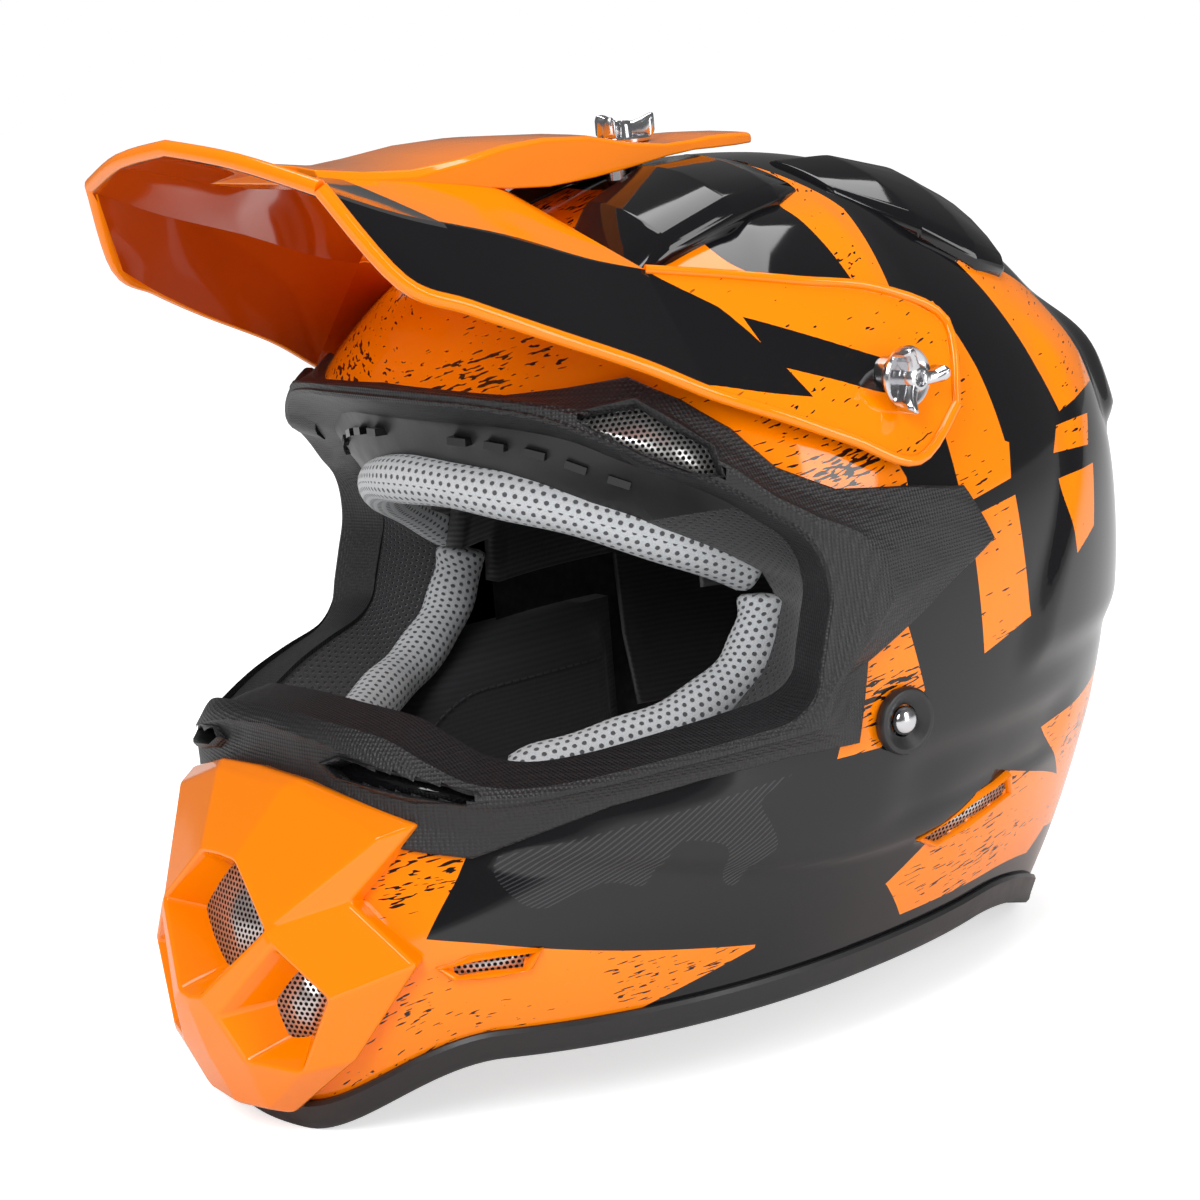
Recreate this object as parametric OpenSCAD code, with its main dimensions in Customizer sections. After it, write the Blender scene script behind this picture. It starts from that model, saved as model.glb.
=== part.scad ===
/* [Outer shell] */
// Width of the shell at the ears
shell_w = 246; // [235:1:256]
// Length of the shell, chin to back
shell_l = 338; // [322:1:352]
// Height of the crown above the table
shell_h = 270; // [258:1:282]
// Wall of the shell
shell_wall = 3.6; // [2.8:0.1:4.4]

/* [Liner] */
// Gap between the shell and the foam
foam_gap = 0.4; // [0.3:0.05:0.8]
// Width of the head room in the bare foam
head_w = 164; // [150:1:168]
// Length of the head room in the bare foam
head_l = 212; // [196:1:216]
// Height of the head room above the table
head_top = 232; // [218:1:238]
// Thickness of the comfort cloth in the crown
comfort_t = 7; // [4:0.5:9]
// Distance between the cheek pads
cheek_room = 118; // [110:1:124]
// Radius of the padded rolls round the face
roll_r = 6; // [4:0.25:6.5]

/* [Edges and grilles] */
// Thickness of the rubber over the shell
rubber_t = 2.6; // [2:0.1:3.2]
// Height of the bottom rubber
rim_h = 9; // [8:0.25:11]
// Rise of the bottom edge at the sides
rim_arch = 24; // [18:0.5:28]
// Thickness of the wire mesh
mesh_t = 1; // [0.6:0.1:1.4]
// Thickness of the chin cover
chin_cover_t = 4.5; // [3.5:0.25:5.5]

/* [Peak] */
// Wall of the peak
peak_wall = 2.6; // [2:0.1:3.2]
// Tilt of the peak each way from its middle, in degrees
peak_tilt = 6; // [3:0.5:6]
// Width of the tongue under the top screw
tongue_w = 46; // [40:1:50]

/* [Screws] */
// Shaft diameter of the peak screws
screw_d = 6; // [5:0.1:7]
// Radial play of a turning shaft in its bore
shaft_play = 0.05; // [0.02:0.01:0.1]
// Diameter of the knob's round flange
knob_d = 19; // [17:0.5:22]
// Reach of the three knob lobes from the axis
lobe_r = 10.5; // [9.5:0.25:11.5]
// Height of the knob lobes
lobe_h = 7; // [5:0.25:9]
// Gap under a knob
seat_gap = 0.3; // [0.25:0.05:0.4]
// Outer diameter of the threaded insert
insert_d = 12; // [11:0.25:14]
// Diameter of the strap rivet's head
rivet_d = 9; // [8:0.25:10]
// Diameter of the ring round the strap rivet
ring_d = 20; // [17:0.5:23]

/* [Chin strap] */
// Width of the webbing
strap_w = 22; // [18:0.5:25]
// Thickness of the webbing
strap_t = 1.6; // [1.2:0.1:2]
// Wire diameter of the D-rings
d_wire = 3.2; // [2.8:0.1:3.6]

/* [Hidden] */

// The outlines below are drawn on a shell of this width, length and height.
drawn = [246, 338, 270];
k = [shell_w / drawn[0], shell_l / drawn[1], shell_h / drawn[2]];
function place(p) = [p[0] * k[0], p[1] * k[1], p[2] * k[2]];
function flip(p) = [-p[0], p[1], p[2]];

// Level by level: height, half width, front and back of the shell.
levels = [
    [0, 99, -178, 112], [25, 106, -186, 126], [50, 112, -187, 136], [80, 118, -179, 144],
    [110, 122, -166, 149], [140, 123, -152, 150], [170, 121, -139, 147], [198, 115, -124, 137],
    [222, 103, -104, 120], [241, 86, -80, 101], [255, 66, -54, 83], [264, 44, -25, 64],
    [269, 22, 0, 43], [270, 0, 22, 22], [269, -22, 43, 0]
];
crown = 13;
side_line = [for (i = [0:crown]) [levels[i][0], i]];
front_bend = 2;
back_bend = 2.3;

function blend4(a, b, c, d, u) =
    0.5 * (2 * b + (c - a) * u + (2 * a - 5 * b + 4 * c - d) * u * u
           + (3 * b - a - 3 * c + d) * u * u * u);
function level(t) =
    let (i = max(0, min(crown - 1, floor(t))), u = t - i, a = levels[max(0, i - 1)],
         b = levels[i], c = levels[i + 1], d = levels[min(crown + 1, i + 2)])
    [for (n = [0:3]) blend4(a[n], b[n], c[n], d[n], u)];
function find(z, lo = 0, hi = crown, n = 14) =
    n == 0 ? (lo + hi) / 2
    : let (m = (lo + hi) / 2) level(m)[0] < z ? find(z, m, hi, n - 1) : find(z, lo, m, n - 1);
function smooth(x) = let (u = max(0, min(1, x))) u * u * (3 - 2 * u);
// Rise of the bottom edge: none at the chin and the nape, full over the shoulders.
function arch(a) =
    rim_arch * smooth((abs(a) - 8) / 34) * (1 - smooth((abs(a) - 112) / 48));
function signed(v, e) = sign(v) * pow(abs(v), e);
function at(a, t) =
    let (r = level(t), c = (r[2] + r[3]) / 2, e = 2 / (cos(a) > 0 ? front_bend : back_bend),
         l = cos(a) > 0 ? c - r[2] : r[3] - c, lift = arch(a) * max(0, 1 - r[0] / 80))
    place([signed(sin(a), e) * r[1], c - signed(cos(a), e) * l, r[0] + lift]);
function unit(v) = v / max(norm(v), 0.0001);
function outward(a, t) =
    let (u = max(0.05, min(crown - 0.12, t)))
    unit(cross(at(a + 0.6, u) - at(a - 0.6, u), at(a, u + 0.05) - at(a, u - 0.05)));
// A point of the shell's skin, turned a degrees from the chin to the left ear,
// z high on the drawn shell and off outside the skin.
function skin_t(a, t, off) = at(a, t) + off * outward(a, t);
function skin(a, z, off) = skin_t(a, find(z), off);
// The turn of a point given by its distance to the side, on the front half.
function front_a(x, z) = asin(max(-1, min(1, x / level(find(z))[1])));

// Sum of a list of numbers.
function total(v) = v * [for (x = v) 1];
// A closed body of triangles, with every face turned outwards.
module solid(pts, faces) {
    vol = total([for (f = faces) pts[f[0]] * cross(pts[f[1]], pts[f[2]])]);
    polyhedron(points = pts, faces = vol > 0 ? [for (f = faces) [f[2], f[1], f[0]]] : faces, convexity = 10);
}
// Rings of points joined into one body, capped at its ends or closed to a loop.
module loft(rings, loop = false) {
    n = len(rings);
    m = len(rings[0]);
    mid = [for (i = [0, n - 1]) [for (c = [0:2]) total([for (p = rings[i]) p[c]]) / m]];
    sides = [
        for (i = [0:(loop ? n : n - 1) - 1]) for (j = [0:m - 1])
            let (a = i * m + j, b = i * m + (j + 1) % m,
                 c = ((i + 1) % n) * m + (j + 1) % m, d = ((i + 1) % n) * m + j)
            each [[a, b, c], [a, c, d]]
    ];
    caps = loop ? [] : [
        for (j = [0:m - 1]) each [
            [n * m, (j + 1) % m, j],
            [n * m + 1, (n - 1) * m + j, (n - 1) * m + (j + 1) % m]
        ]
    ];
    solid(concat([for (r = rings) each r], loop ? [] : mid), concat(sides, caps));
}
// Freeform pieces and their cuts, kept together as one body with flat facets.
module one_skin() resize([0, 0, 0]) children();

// Rings of the skin from the crown down to one height, off outside it.
turns = 48;
step_t = 0.75;
function turn(j) = let (a = 360 * (j + 0.5) / turns) a > 180 ? a - 360 : a;
function skin_rings(off, from_z) =
    let (t0 = find(from_z), low = ceil((t0 + 0.15) / step_t))
    [for (t = concat([12.92, 12.6], [for (i = [16:-1:low]) i * step_t], [t0]))
        [for (j = [0:turns - 1]) skin_t(turn(j), t, off)]];
function back_to_front(v) = [for (i = [len(v) - 1:-1:0]) v[i]];

// The edge of the eyeport: turn and height of its lip, then of the trim's outer border.
eyeport = [
    [0, 209, 0, 214], [12, 208.5, 13, 213], [23, 207, 25, 211.5], [34, 203, 34, 213],
    [44, 195, 43, 215], [52, 188, 51, 208], [58, 181.5, 58, 199], [63, 174, 64, 187],
    [67, 167.5, 72, 178.5], [69.5, 160, 83, 175.5], [71, 150, 91, 172], [71, 140, 95, 154],
    [71, 131, 86, 139], [71, 122, 78, 127], [68.5, 116, 79, 103], [62, 113, 70, 103.5],
    [54, 110, 60, 101.5], [45, 106.5, 50, 97.5], [38, 105.5, 42, 91.5], [32, 108, 35, 86],
    [26, 114, 25, 89], [20, 119.5, 17, 96], [11, 122.5, 9, 103], [0, 124, 0, 106.5]
];
half = len(eyeport);
eye_ring = concat(eyeport, [for (i = [half - 2:-1:1]) [-eyeport[i][0], eyeport[i][1],
                                                       -eyeport[i][2], eyeport[i][3]]]);
eye_heart = [0, -10, 150];
// At each point of the lip: the point, the way in to the heart and the way out to the border.
eye_frames = [
    for (e = eye_ring)
        let (p = skin(e[0], e[1], 0), q = skin(e[0] + (e[2] - e[0]) * 0.16, e[1] + (e[3] - e[1]) * 0.16, 0))
        [p, unit(place(eye_heart) - p), unit(q - p)]
];
function by_lip(f, deep, out) = f[0] + f[1] * deep + f[2] * out;
// The edge of the padding round the face, point by point beside the lip.
face_edge = [
    [0, -101, 183], [9, -100.6, 182.9], [19, -98.8, 182], [30, -95, 180], [40, -89.5, 177.6], [48, -83.5, 174.5],
    [55, -76, 170.7], [61, -69, 166.5], [66, -61, 162.5], [71, -50, 157], [75, -38, 150], [76, -33, 141],
    [77, -37, 131], [77, -43, 121], [74.5, -55, 111], [70, -66, 105], [64, -79, 101], [57, -92, 98],
    [50, -103, 95], [44, -116, 90], [36, -124, 88], [26, -131, 86], [13, -136, 85], [0, -137, 85]
];
face_ring = [for (p = concat(face_edge, [for (i = [half - 2:-1:1]) flip(face_edge[i])])) place(p)];
// The room before the face: in along the lip, on to the padding's edge and to a point in the head room.
module face_cut(out) {
    n = len(face_ring);
    rings = concat([for (deep = [-32, lip_deep]) [for (f = eye_frames) by_lip(f, deep, out)]], [face_ring]);
    solid(
        concat([for (r = rings) each r], [place([0, -340, 163]), place([0, 8, 140])]),
        concat([for (r = [0, 1]) for (i = [0:n - 1]) let (j = (i + 1) % n)
                    each [[r * n + i, r * n + j, (r + 1) * n + j], [r * n + i, (r + 1) * n + j, (r + 1) * n + i]]],
               [for (i = [0:n - 1]) let (j = (i + 1) % n) each [[3 * n, j, i], [3 * n + 1, 2 * n + i, 2 * n + j]]])
    );
}
// The port in the shell, straight along the lip and pointed at both ends.
module eye_port(grow) {
    n = len(eye_frames);
    solid(
        concat([for (deep = [-32, 16]) each [for (f = eye_frames) by_lip(f, deep, grow)]],
               [place([0, -340, 163]), place([0, -55, 148])]),
        [for (i = [0:n - 1]) let (j = (i + 1) % n)
            each [[i, j, n + j], [i, n + j, n + i], [2 * n, j, i], [2 * n + 1, n + i, n + j]]]
    );
}
// The room that the lip of the trim takes behind the skin.
module lip_room()
    loft([for (f = eye_frames) [by_lip(f, -16, -3), by_lip(f, -16, lip_t + 0.9),
                                by_lip(f, lip_deep + 0.9, lip_t + 0.9), by_lip(f, lip_deep + 0.9, -3)]], loop = true);

// The head room: an egg standing on a straight wall, shrunk by in.
head_y = 8;
head_mid = 128;
function egg(a, u, in) =
    let (w = head_w / 2 - in, l = head_l / 2 - in, h = head_top - in - head_mid)
    [w * sin(a) * cos(u), head_y - l * cos(a) * cos(u), head_mid + h * sin(u)];
// Rings of the head room from its top down, and one more at the height low(turn).
function egg_rings(in, foot_z) = concat(
    [for (u = [87, 78, 68, 57, 44, 30, 15, 0]) [for (j = [0:turns - 1]) egg(turn(j), u, in)]],
    [[for (j = [0:turns - 1]) let (p = egg(turn(j), 0, in)) [p[0], p[1], foot_z[j]]]]
);

// Vent outlines, each a ring of turn and height on the skin.
brow_vent = [[36, 204], [45, 206.5], [55, 194], [56.5, 186], [52, 188], [43, 197]];
chin_side_vent = [[35, 46], [46, 48], [45, 41], [37, 41]];
rear_vent = [[93, 58], [105, 71], [107, 62], [96, 52]];
function mirrored(v) = [for (i = [len(v) - 1:-1:0]) [-v[i][0], v[i][1]]];
// A plate that follows the skin inside an outline of turns and heights.
module patch(outline, off_in, off_out, rounds = 1) {
    steps = [for (i = [0:rounds]) max(0.03, i / rounds)];
    back = [for (i = [rounds:-1:0]) max(0.03, i / rounds)];
    loft(concat(
        [for (g = steps) [for (p = grown(outline, g)) skin(p[0], p[1], off_in)]],
        [for (g = back) [for (p = grown(outline, g)) skin(p[0], p[1], off_out)]]
    ));
}
function grown(v, g) =
    let (c = [total([for (p = v) p[0]]), total([for (p = v) p[1]])] / len(v))
    [for (p = v) c + (p - c) * g];

// Chin cover outline and its three vents, side to side and height, seen from the front.
chin_outline = [
    [0, 106], [51, 94], [39, 73], [55, 50], [38, 21], [15, 9],
    [-15, 9], [-38, 21], [-55, 50], [-39, 73], [-51, 94]
];
shield_vent = [[-15, 80], [15, 80], [19, 62], [8, 46], [-8, 46], [-19, 62]];
lower_vent = [[9, 36], [27, 57], [37, 38], [27, 24], [9, 30]];

// Peak screws. The side screws lie on the tilt axis and the top screw stands over it.
tilt_at = place([0, -11, 208]);
side_x = 116 * k[0];
screw_r = screw_d / 2;
insert_r = insert_d / 2;
boss_r = knob_d / 2 + 1;
boss_t = 3.2;
crown_z = at(0, crown)[2];
// Underside of the tongue at the top screw, and its radius about the tilt axis.
tongue_z = crown_z + 4.2;
tongue_t = 3;
tongue_r = tongue_z - tilt_at[2];
nose_up = 2;

// The wall of the trim's lip, its gap to the shell and how deep it goes in.
lip_t = 2.4;
seal_gap = 0.4;
lip_deep = 12;
chin_foam_t = 11;

// Strap rivets: turn and height on the skin.
rivet_a = 85;
rivet_z = 106;
rivet_shank_r = 3;

// Bottom rubber: how high the shell stands in it, and its inner lip.
rim_floor = 3;
rim_in = 2.2;
cover_gap = 0.6 + mesh_t;
neck_r = 8;
// The cheek pads fill the foam in front of this line and below this height.
cheek_y = -34 * k[1];
cheek_top = 118 * k[2];
chin_y = -119 * k[1];

// Middle lines of the padded rolls, from the middle of the brow and down the left cheek.
brow_line = [for (p = [[0, -101, 183], [22, -98, 181.5], [42, -88, 177], [58, -73, 169],
                       [70, -53, 159], [75, -36, 149]]) place(p)];
cheek_line = [for (p = [[75.5, -33, 137], [77, -38, 127], [76, -48, 115], [70, -66, 105],
                        [61, -86, 99], [53, -98, 97]]) place(p)];

// A disc of points round a middle, square to the way the roll runs.
function ring_at(p, way, r, n = 10) =
    let (u = unit(cross(way, [0, 0.01, 1])), v = unit(cross(way, u)))
    [for (j = [0:n - 1]) p + r * (cos(360 * j / n) * u + sin(360 * j / n) * v)];
module roll(line, r) {
    n = len(line);
    loft([for (i = [0:n - 1])
        ring_at(line[i], line[min(n - 1, i + 1)] - line[max(0, i - 1)], (i == 0 || i == n - 1) ? r * 0.75 : r)]);
}

// The height and turn of the skin over a point of the table, found from above.
function over(x, y, t) =
    let (r = level(t), c = (r[2] + r[3]) / 2, e = y < c ? front_bend : back_bend,
         l = y < c ? c - r[2] : r[3] - c)
    pow(abs(x) / max(0.01, r[1]), e) + pow(abs(y - c) / max(0.01, l), e);
function from_top(x, y, lo = 5, hi = crown, n = 16) =
    n == 0 ? lo : let (m = (lo + hi) / 2)
    over(x, y, m) < 1 ? from_top(x, y, m, hi, n - 1) : from_top(x, y, lo, m, n - 1);
function on_top(x, y, off) =
    let (t = from_top(x, y), r = level(t), c = (r[2] + r[3]) / 2, e = y < c ? front_bend : back_bend,
         l = y < c ? c - r[2] : r[3] - c,
         a = atan2(signed(x / r[1], e / 2), signed((c - y) / l, e / 2)))
    skin_t(a, t, off);

function chin_turns(v) = [for (p = v) [front_a(p[0], p[1]), p[1]]];
chin_vents = [shield_vent, lower_vent, mirrored(lower_vent)];
// The bare shell with its eyeport, or the room that it takes when it is grown.
module shell_wall_body(grow) difference() {
    loft(concat(skin_rings(grow, rim_floor), back_to_front(skin_rings(-shell_wall - grow, rim_floor))));
    eye_port(lip_t + seal_gap - grow);
}
module outer_shell() {
    color("darkorange") difference() {
        one_skin() difference() {
            shell_wall_body(0);
            for (v = [brow_vent, mirrored(brow_vent), chin_side_vent, mirrored(chin_side_vent),
                      rear_vent, mirrored(rear_vent)])
                patch(v, -shell_wall - 4, 6);
            chin_ports(-12, 6);
        }
        for (s = [-1, 1]) translate([0, tilt_at[1], tilt_at[2]]) rotate([0, s * 90, 0])
            cylinder(h = 200, r = insert_r + shaft_play, $fn = 48);
        translate([0, tilt_at[1], 200]) cylinder(h = 100, r = insert_r + shaft_play, $fn = 48);
        for (s = [-1, 1]) rivet_frame(s)
            cylinder(h = 30, r = rivet_shank_r + shaft_play, center = true, $fn = 36);
    }
}

// The three air ports behind the chin cover.
module chin_ports(off_in, off_out) {
    for (v = chin_vents) patch(chin_turns(v), off_in, off_out);
}

foam_low = 48;
module impact_liner() {
    color("dimgray") difference() {
        one_skin() difference() {
            loft(concat(skin_rings(-shell_wall - foam_gap, foam_low),
                        back_to_front(egg_rings(0, [for (j = [0:turns - 1]) skin(turn(j), foam_low, 0)[2]]))));
            face_cut(-1);
            lip_room();
            face_rolls(0.3);
            translate([-200, cheek_y - 300, -10]) cube([400, 300, cheek_top + 10]);
            translate([-60, -300, 100]) cube([120, 170, 40]);
        }
        for (s = [-1, 1]) translate([0, tilt_at[1], tilt_at[2]]) rotate([0, s * 90, 0])
            cylinder(h = 200, r = insert_r + 2, $fn = 48);
        translate([0, tilt_at[1], 200]) cylinder(h = 100, r = insert_r + 2, $fn = 48);
        for (s = [-1, 1]) strap_room(s);
    }
}

module chin_bar_foam() {
    heights = [16, 40, 64, 86];
    color("dimgray") one_skin() difference() {
        loft([for (a = [-39:6:39]) concat(
            [for (z = heights) skin(a, z, -shell_wall - foam_gap - 0.4)],
            [for (z = back_to_front(heights)) skin(a, z, -shell_wall - foam_gap - chin_foam_t)])]);
        chin_ports(-40, 6);
    }
}

module crown_liner() {
    foot_z = [for (j = [0:turns - 1]) cheek_top + 0.4 - 60 * smooth((abs(turn(j)) - 115) / 25)];
    color("#202022") one_skin() difference() {
        loft(concat(egg_rings(0.4, foot_z), back_to_front(egg_rings(comfort_t, foot_z))));
        face_cut(-1);
        face_rolls(0.3);
    }
}

module brow_roll(r) roll(concat([for (i = [len(brow_line) - 1:-1:1]) flip(brow_line[i])], brow_line), r);
module side_roll(s, r) roll([for (p = cheek_line) [s * p[0], p[1], p[2]]], r);
// The grooves that the rolls round the face lie in.
module face_rolls(gap) {
    brow_roll(roll_r + gap);
    for (s = [-1, 1]) side_roll(s, roll_r + gap);
}
module brow_pad() color("#c9ccd0") brow_roll(roll_r);
// How far the pad reaches out to the shell, or to the foam behind the line of the pads.
function pad_out(y, z) =
    let (r = level(find(z / k[2])), c = (r[2] + r[3]) / 2 * k[1], l = y < c ? c - r[2] * k[1] : r[3] * k[1] - c,
         u = (y - head_y) / (head_l / 2))
    y < cheek_y - 0.4 ? r[1] * k[0] * sqrt(max(0, 1 - pow((y - c) / l, 2))) - shell_wall - rim_in - 1.2
    : head_w / 2 * sqrt(1 - u * u) - 0.5;
module cheek_pad(s) {
    low = 26;
    inner = cheek_room / 2;
    ys = concat([for (y = [-118, -100, -80, -60, -46]) y * k[1]], [cheek_y - 0.5, cheek_y - 0.4, -10, 10, 30]);
    color("#29292b") one_skin() difference() {
        intersection() {
            loft(skin_rings(-shell_wall - rim_in - 0.6, 20));
            loft([for (y = ys) [for (q = concat(
            [for (z = [low, 52, 76, 98, cheek_top - 0.4]) [max(inner + 6, pad_out(y, z)), z]],
            [[inner + 4, cheek_top - 0.4], [inner, cheek_top - 6], [inner, low + 6], [inner + 4, low]]))
            [s * q[0], y, q[1]]]]);
        }
        face_cut(-1);
        lip_room();
        side_roll(s, roll_r + 0.3);
    }
}
module cheek_roll(s) color("#c9ccd0") side_roll(s, roll_r);
module neck_roll() {
    color("#202022") {
        n = 16;
        off = -shell_wall - rim_in - 0.6 - neck_r;
        loft([for (i = [0:n]) let (a = 122 + 116 * i / n, b = a > 180 ? a - 360 : a, p = skin(b, foam_low - neck_r, off))
            ring_at([p[0], p[1], skin(b, foam_low, 0)[2] - neck_r - 0.4], [cos(a), sin(a), 0],
                    neck_r * (i % n == 0 ? 0.6 : 1))]);
    }
}

module eyeport_trim() {
    n = len(eye_ring);
    color("#2c2c2e") one_skin() difference() {
        loft([for (i = [0:n - 1]) trim_ring(eye_ring[i], eye_frames[i])], loop = true);
        shell_wall_body(0.15);
        for (v = [brow_vent, mirrored(brow_vent)]) patch(v, -3, 14);
        patch(grown(chin_turns(chin_outline), 1.03), cover_gap - 0.3, 20, rounds = 4);
    }
}
// Flange over the shell from its border to the lip, and the lip's wall running inwards.
function trim_ring(e, f) = [
    skin(e[2], e[3], 0.4), skin(e[2], e[3], 2.4),
    skin((e[0] + e[2]) / 2, (e[1] + e[3]) / 2, 6), skin(e[0], e[1], 6),
    by_lip(f, lip_deep, 0), by_lip(f, lip_deep, lip_t),
    by_lip(f, 1, lip_t) + f[1] * -1.4
];

module bottom_rim() {
    color("#1c1c1e") difference() {
        one_skin() difference() {
            loft([for (j = [0:turns - 1]) rim_ring(turn(j))], loop = true);
            shell_wall_body(0.15);
        }
        translate([-200, -300, -20]) cube([400, 600, 20]);
    }
}
// A channel that holds the bottom edge of the shell.
function rim_ring(a) =
    let (o = rubber_t, i = -shell_wall - rim_in, c = 0.3)
    [
        foot(a, 0, o - 0.8), foot(a, 1, o), foot(a, rim_h, o), foot(a, rim_h, c),
        foot(a, rim_floor - c, c), foot(a, rim_floor - c, -shell_wall - c),
        foot(a, rim_h, -shell_wall - c), foot(a, rim_h, i), foot(a, 1, i), foot(a, 0, i + 0.8)
    ];
function foot(a, z, off) =
    let (p = skin(a, max(z, rim_floor), off)) [p[0], p[1], z + arch(a) * k[2] * (1 - rim_floor / 80)];

module chin_cover() {
    color("darkorange") one_skin() difference() {
        patch(chin_turns(chin_outline), cover_gap, cover_gap + chin_cover_t, rounds = 4);
        shell_wall_body(0.2);
        chin_ports(-2, 20);
    }
}
module chin_cover_mesh() {
    color("silver") for (v = chin_vents) patch(grown(chin_turns(v), 1.1), 0.3, 0.3 + mesh_t, rounds = 2);
}
module grille(outline, off) color("silver") patch(grown(outline, 0.94), off, off + mesh_t, rounds = 2);

// Air scoops: a hollow hood on the forehead, open to the front, and one open to the back.
function hood_ring(s, x_in, x_out, y, rise, low) = [
    for (q = [[x_in, low], [x_in + 3, rise], [(x_in + x_out) / 2, rise], [x_out - 3, rise], [x_out, low],
              [(x_in + x_out) / 2, low]])
        let (p = on_top(q[0], y, q[1])) [s * p[0], p[1], p[2]]
];
module intake_scoop(s) {
    color("#101012") one_skin() difference() {
        loft([for (h = [[24, 58, -62, 3], [20, 61, -48, 7.5], [18, 64, -22, 8], [18, 62, -2, 5], [19, 56, 12, 2]])
            hood_ring(s, h[0], h[1], h[2], h[3], 0.4)]);
        loft([for (h = [[30, 52, -68, 12], [25, 55, -47, 6.5], [22, 57, -26, 6]])
            hood_ring(s, h[0], h[1], h[2], h[3], 2)]);
        shell_wall_body(0.2);
    }
}
module exhaust_cover(s) {
    color("#101012") one_skin() difference() {
        loft([for (h = [[30, 60, 24, 2], [36, 82, 38, 5.5], [46, 90, 54, 6.5], [56, 88, 68, 6]])
            hood_ring(s, h[0], h[1], h[2], h[3], 0.4)]);
        loft([for (h = [[52, 76, 46, 4], [54, 82, 58, 4.5], [58, 84, 76, 12]])
            hood_ring(s, h[0], h[1], h[2], h[3], 2)]);
        shell_wall_body(0.2);
    }
}

// The peak: an arched blade, two wings that reach the side screws and a tongue to the top screw.
blade = [
    [[0, -181, 293], [30, -178, 289], [59, -171, 281], [73, -157, 254]],
    [[0, -150, 285], [31, -148, 281], [62, -146, 271], [80, -140, 246]],
    [[0, -118, 280], [33, -116, 276.5], [67, -112, 261], [87, -118, 236]],
    [[0, -90, 277.5], [34, -89, 272], [70, -84, 251], [93, -92, 223]],
    [[0, -74, 276], [30, -74, 270], [62, -66, 248], [98, -70, 213]]
];
wing = [
    [[66, -77, 248.8], [94.5, -81, 218.5]], [[79, -47, 242], [109, -54, 204]],
    [[92, -27, 236], [119, -34, 194]], [[105, -6, 230], [126.5, -16, 185]],
    [[114.5, 16, 218], [119.5, 16, 208]]
];
// Half width, depth, height and thickness along the tongue, ahead of and behind its curved pad.
tongue = [[30, -90, 278.6, 9], [27, -64, 278, 9], [24, -40, 277.4, 6], [22, -20, 276.2, 2.2]];
tongue_tail = [[22, 1, 275.6, 2.2], [21, 20, 275, 2.6], [14, 31, 274.6, 2.4]];
module peak() {
    color("darkorange") difference() {
        one_skin() union() {
            difference() {
                union() {
                    loft([for (b = blade) plate(concat([for (i = [3:-1:1]) flip(b[i])], b))]);
                    for (s = [-1, 1]) loft([for (w = wing) plate(s > 0 ? w : [flip(w[1]), flip(w[0])])]);
                    for (t = [tongue, tongue_tail])
                        loft([for (w = t) let (p = place([w[0], w[1], w[2]]))
                            [flip(p), p, p - [0, 0, w[3]], flip(p) - [0, 0, w[3]]]]);
                }
                for (pose = [-peak_tilt, -peak_tilt / 2, 0, nose_up])
                    translate(tilt_at) rotate([pose, 0, 0]) translate(-tilt_at) loft(skin_rings(0.9, 150));
                for (s = [-1, 1]) side_frame(s) {
                    translate([0, 0, boss_t]) cylinder(h = 20, r = boss_r, $fn = 72);
                    translate([0, 0, -20]) cylinder(h = 20, r = boss_r, $fn = 72);
                }
            }
            for (s = [-1, 1]) side_frame(s) cylinder(h = boss_t, r = boss_r + 0.4, $fn = 72);
            tongue_pad();
        }
        for (s = [-1, 1]) side_frame(s) translate([0, 0, -20]) cylinder(h = 60, r = screw_r + shaft_play, $fn = 48);
        slot();
    }
}
// A strip across the peak: its upper side, then its inner side one wall further in.
function plate(line) =
    let (top = [for (p = line) place(p)])
    concat(top, [for (i = [len(top) - 1:-1:0]) top[i] + peak_wall * unit([-top[i][0] / 80, 0, -0.8])]);
// The tongue under the top screw curves about the tilt axis.
module tongue_pad()
    translate([0, tilt_at[1], tilt_at[2]]) rotate([0, 90, 0])
        rotate_extrude(angle = 26, start = 165, $fn = 90)
            translate([tongue_r, -tongue_w / 2]) square([tongue_t, tongue_w]);
module slot() {
    w = screw_r + seat_gap;
    ahead = tongue_r * tan(nose_up) + seat_gap;
    behind = tongue_r * tan(peak_tilt) + seat_gap;
    translate([0, tilt_at[1], tongue_z - 15]) {
        translate([0, -ahead, 0]) cylinder(h = 40, r = w, $fn = 48);
        translate([0, behind, 0]) cylinder(h = 40, r = w, $fn = 48);
        translate([-w, -ahead, 0]) cube([2 * w, ahead + behind, 40]);
    }
}
module side_frame(s) translate([s * side_x, tilt_at[1], tilt_at[2]]) rotate([0, s * 90, 0]) children();
module top_frame() translate([0, tilt_at[1], tongue_z]) children();

// A three-lobed hand screw: its seat is at z = 0 and its shaft runs down from there.
module hand_screw(depth) {
    color("gainsboro") difference() {
        union() {
            translate([0, 0, -depth]) cylinder(h = depth + 1, r = screw_r, $fn = 48);
            cylinder(h = 2, r = knob_d / 2, $fn = 72);
            cylinder(h = 2 + lobe_h, r = knob_d / 4, $fn = 48);
            for (i = [0:2]) rotate([0, 0, 90 + 120 * i]) {
                translate([lobe_r - 2.6, 0, 1]) cylinder(h = lobe_h + 1, r = 2.6, $fn = 36);
                translate([0, -1.8, 1]) cube([lobe_r - 2.6, 3.6, lobe_h]);
            }
        }
        translate([0, 0, 4]) cylinder(h = 20, r = 2.3, $fn = 6);
    }
}
module peak_screw_side(s) side_frame(s) translate([0, 0, boss_t + seat_gap]) hand_screw(boss_t + seat_gap + 12);
module peak_screw_top() top_frame() translate([0, 0, tongue_t + seat_gap]) hand_screw(tongue_t + seat_gap + 12);
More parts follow.
